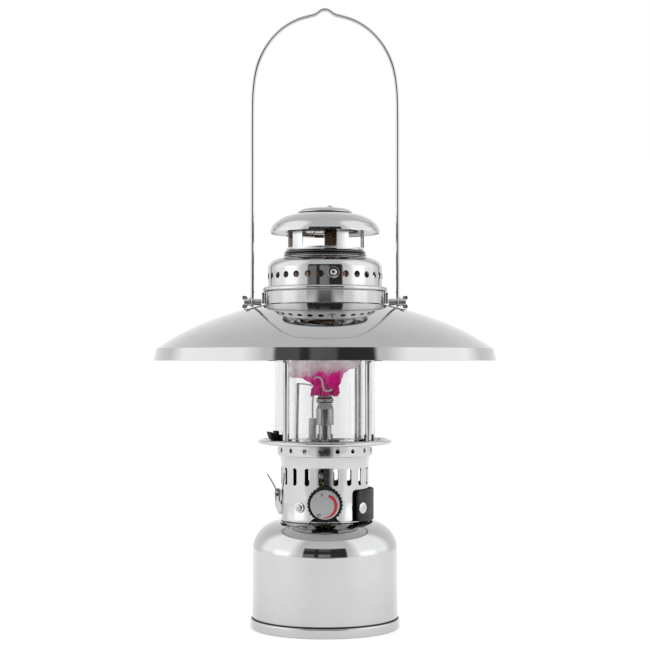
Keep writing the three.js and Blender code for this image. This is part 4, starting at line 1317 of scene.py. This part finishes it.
def make_studio():
    """A white tent, with bright boxes above on both sides and a dark opening in front for the camera."""
    world = bpy.data.worlds.new("studio")
    world.use_nodes = True
    bpy.context.scene.world = world
    kit = NodeKit(world.node_tree)
    background = kit.nodes["Background"]
    kit.put((1, 1, 1, 1), background.inputs["Color"])
    x, y, z = kit.split(kit.add("TexCoord", "Generated"))
    turn = kit.math("ARCTAN2", x, kit.math("MULTIPLY", y, -1.0))  # 0 towards the front
    side = kit.math("ABSOLUTE", turn)
    height = kit.math("ARCSINE", z)

    def patch(azimuth, azimuth_half, elevation, elevation_half, soft):
        """1 inside a rectangle of directions on both sides, fading to 0 at its edges. All are in degrees."""
        inside = []
        for value, centre, half in ((side, azimuth, azimuth_half), (height, elevation, elevation_half)):
            away = kit.math("ABSOLUTE", kit.math("SUBTRACT", value, math.radians(centre)))
            inside.append(kit.spread(away, 1.0, 0.0, math.radians(half - soft), math.radians(half + soft)))
        return kit.math("MULTIPLY", *inside)

    walls = kit.spread(height, 1.06, 0.86, math.radians(-10), math.radians(60))
    boxes = kit.math("MULTIPLY", patch(84, 34, 31, 31, 8), 0.62)
    cards = kit.math("MULTIPLY", patch(72, 15, 4, 8, 5), 0.5)
    opening = kit.math("MAXIMUM", patch(0, 35, 13.75, 16.25, 1.5), patch(0, 17, -6, 8, 7))
    greys = [
        (0.0, 0.20), (0.24, 0.22), (0.27, 0.0), (0.34, 0.0), (0.37, 0.30), (0.60, 0.24), (0.64, 0.0),
        (1.0, 0.0),
    ]
    across = kit.spread(turn, 0.0, 1.0, math.radians(-35), math.radians(35))
    things = kit.ramp(across, [(position, (grey,) * 3) for position, grey in greys])
    seen_low = kit.math("ADD", patch(0, 40, 4, 6, 1.5), kit.math("MULTIPLY", patch(0, 40, 26, 5, 1.5), 0.4))
    stand = kit.math("ADD", kit.math("MULTIPLY", things, seen_low), 0.045)
    lit = kit.math("ADD", walls, kit.math("ADD", boxes, cards))
    bright = kit.math("MULTIPLY", lit, kit.math("SUBTRACT", 1.0, opening))
    tone = kit.math("ADD", bright, kit.math("MULTIPLY", opening, stand))

    ways = kit.nodes.new("ShaderNodeLightPath").outputs
    straight = kit.math("LESS_THAN", ways["Glossy Depth"], 0.5)
    behind_glass = kit.math("MULTIPLY", ways["Is Transmission Ray"], straight)
    through_glass = kit.math("MAXIMUM", tone, kit.math("MULTIPLY", behind_glass, 0.9))
    kit.put(kit.math("MAXIMUM", through_glass, ways["Is Camera Ray"]), background.inputs["Strength"])

    for place, name in ((-1, "left"), (1, "right")):
        light = bpy.data.lights.new(f"softbox_{name}", "AREA")
        light.shape = "RECTANGLE"
        light.size = 0.7
        light.size_y = 0.9
        light.energy = 4
        lamp = placed(f"softbox_{name}", light)
        lamp.visible_glossy = False
        aim(lamp, (place * SOFTBOX_AT[0], *SOFTBOX_AT[1:]), SOFTBOX_TARGET)


def make_floor():
    """A white table that shines a little by itself, so that the ground stays as pale as the background."""
    shape = bmesh.new()
    bmesh.ops.create_grid(shape, x_segments=1, y_segments=1, size=1.0)
    shape.transform(Matrix.Translation((0, 0.2, 0)) @ Matrix.Diagonal((2.6, 1.15, 1, 1)))
    table = placed("table", stored("table", shape))
    recipe = Recipe("table_white", (0.82, 0.82, 0.82), 0.6)
    recipe.tones(recipe.noise(3, 2), [(0.3, (0.81, 0.81, 0.81)), (0.7, (0.83, 0.83, 0.83))])
    recipe.set("Emission Color", (1, 1, 1, 1))
    recipe.set("Emission Strength", 0.35)
    table.data.materials.append(recipe.material)


def make_camera():
    bpy.context.scene.view_settings.view_transform = "Standard"
    camera = placed("camera", bpy.data.cameras.new("camera"))
    camera.data.lens = 86.2
    camera.data.sensor_width = 36
    aim(camera, CAMERA_AT, CAMERA_TARGET)
    bpy.context.scene.camera = camera


make_camera()
make_studio()
make_floor()
make_ignition_lead()
make_base()
make_cartridge()
make_valve()
make_knob()
make_burner()
make_spark_parts()
make_spark_unit()
make_mantle()
make_igniter()
make_cage()
make_grip()
make_gallery()
make_glass()
make_latch()
make_posts()
make_shade()
make_hood()
make_vent()
make_cap()
make_bail_side(-1, "left")
make_bail_side(1, "right")
make_bail()
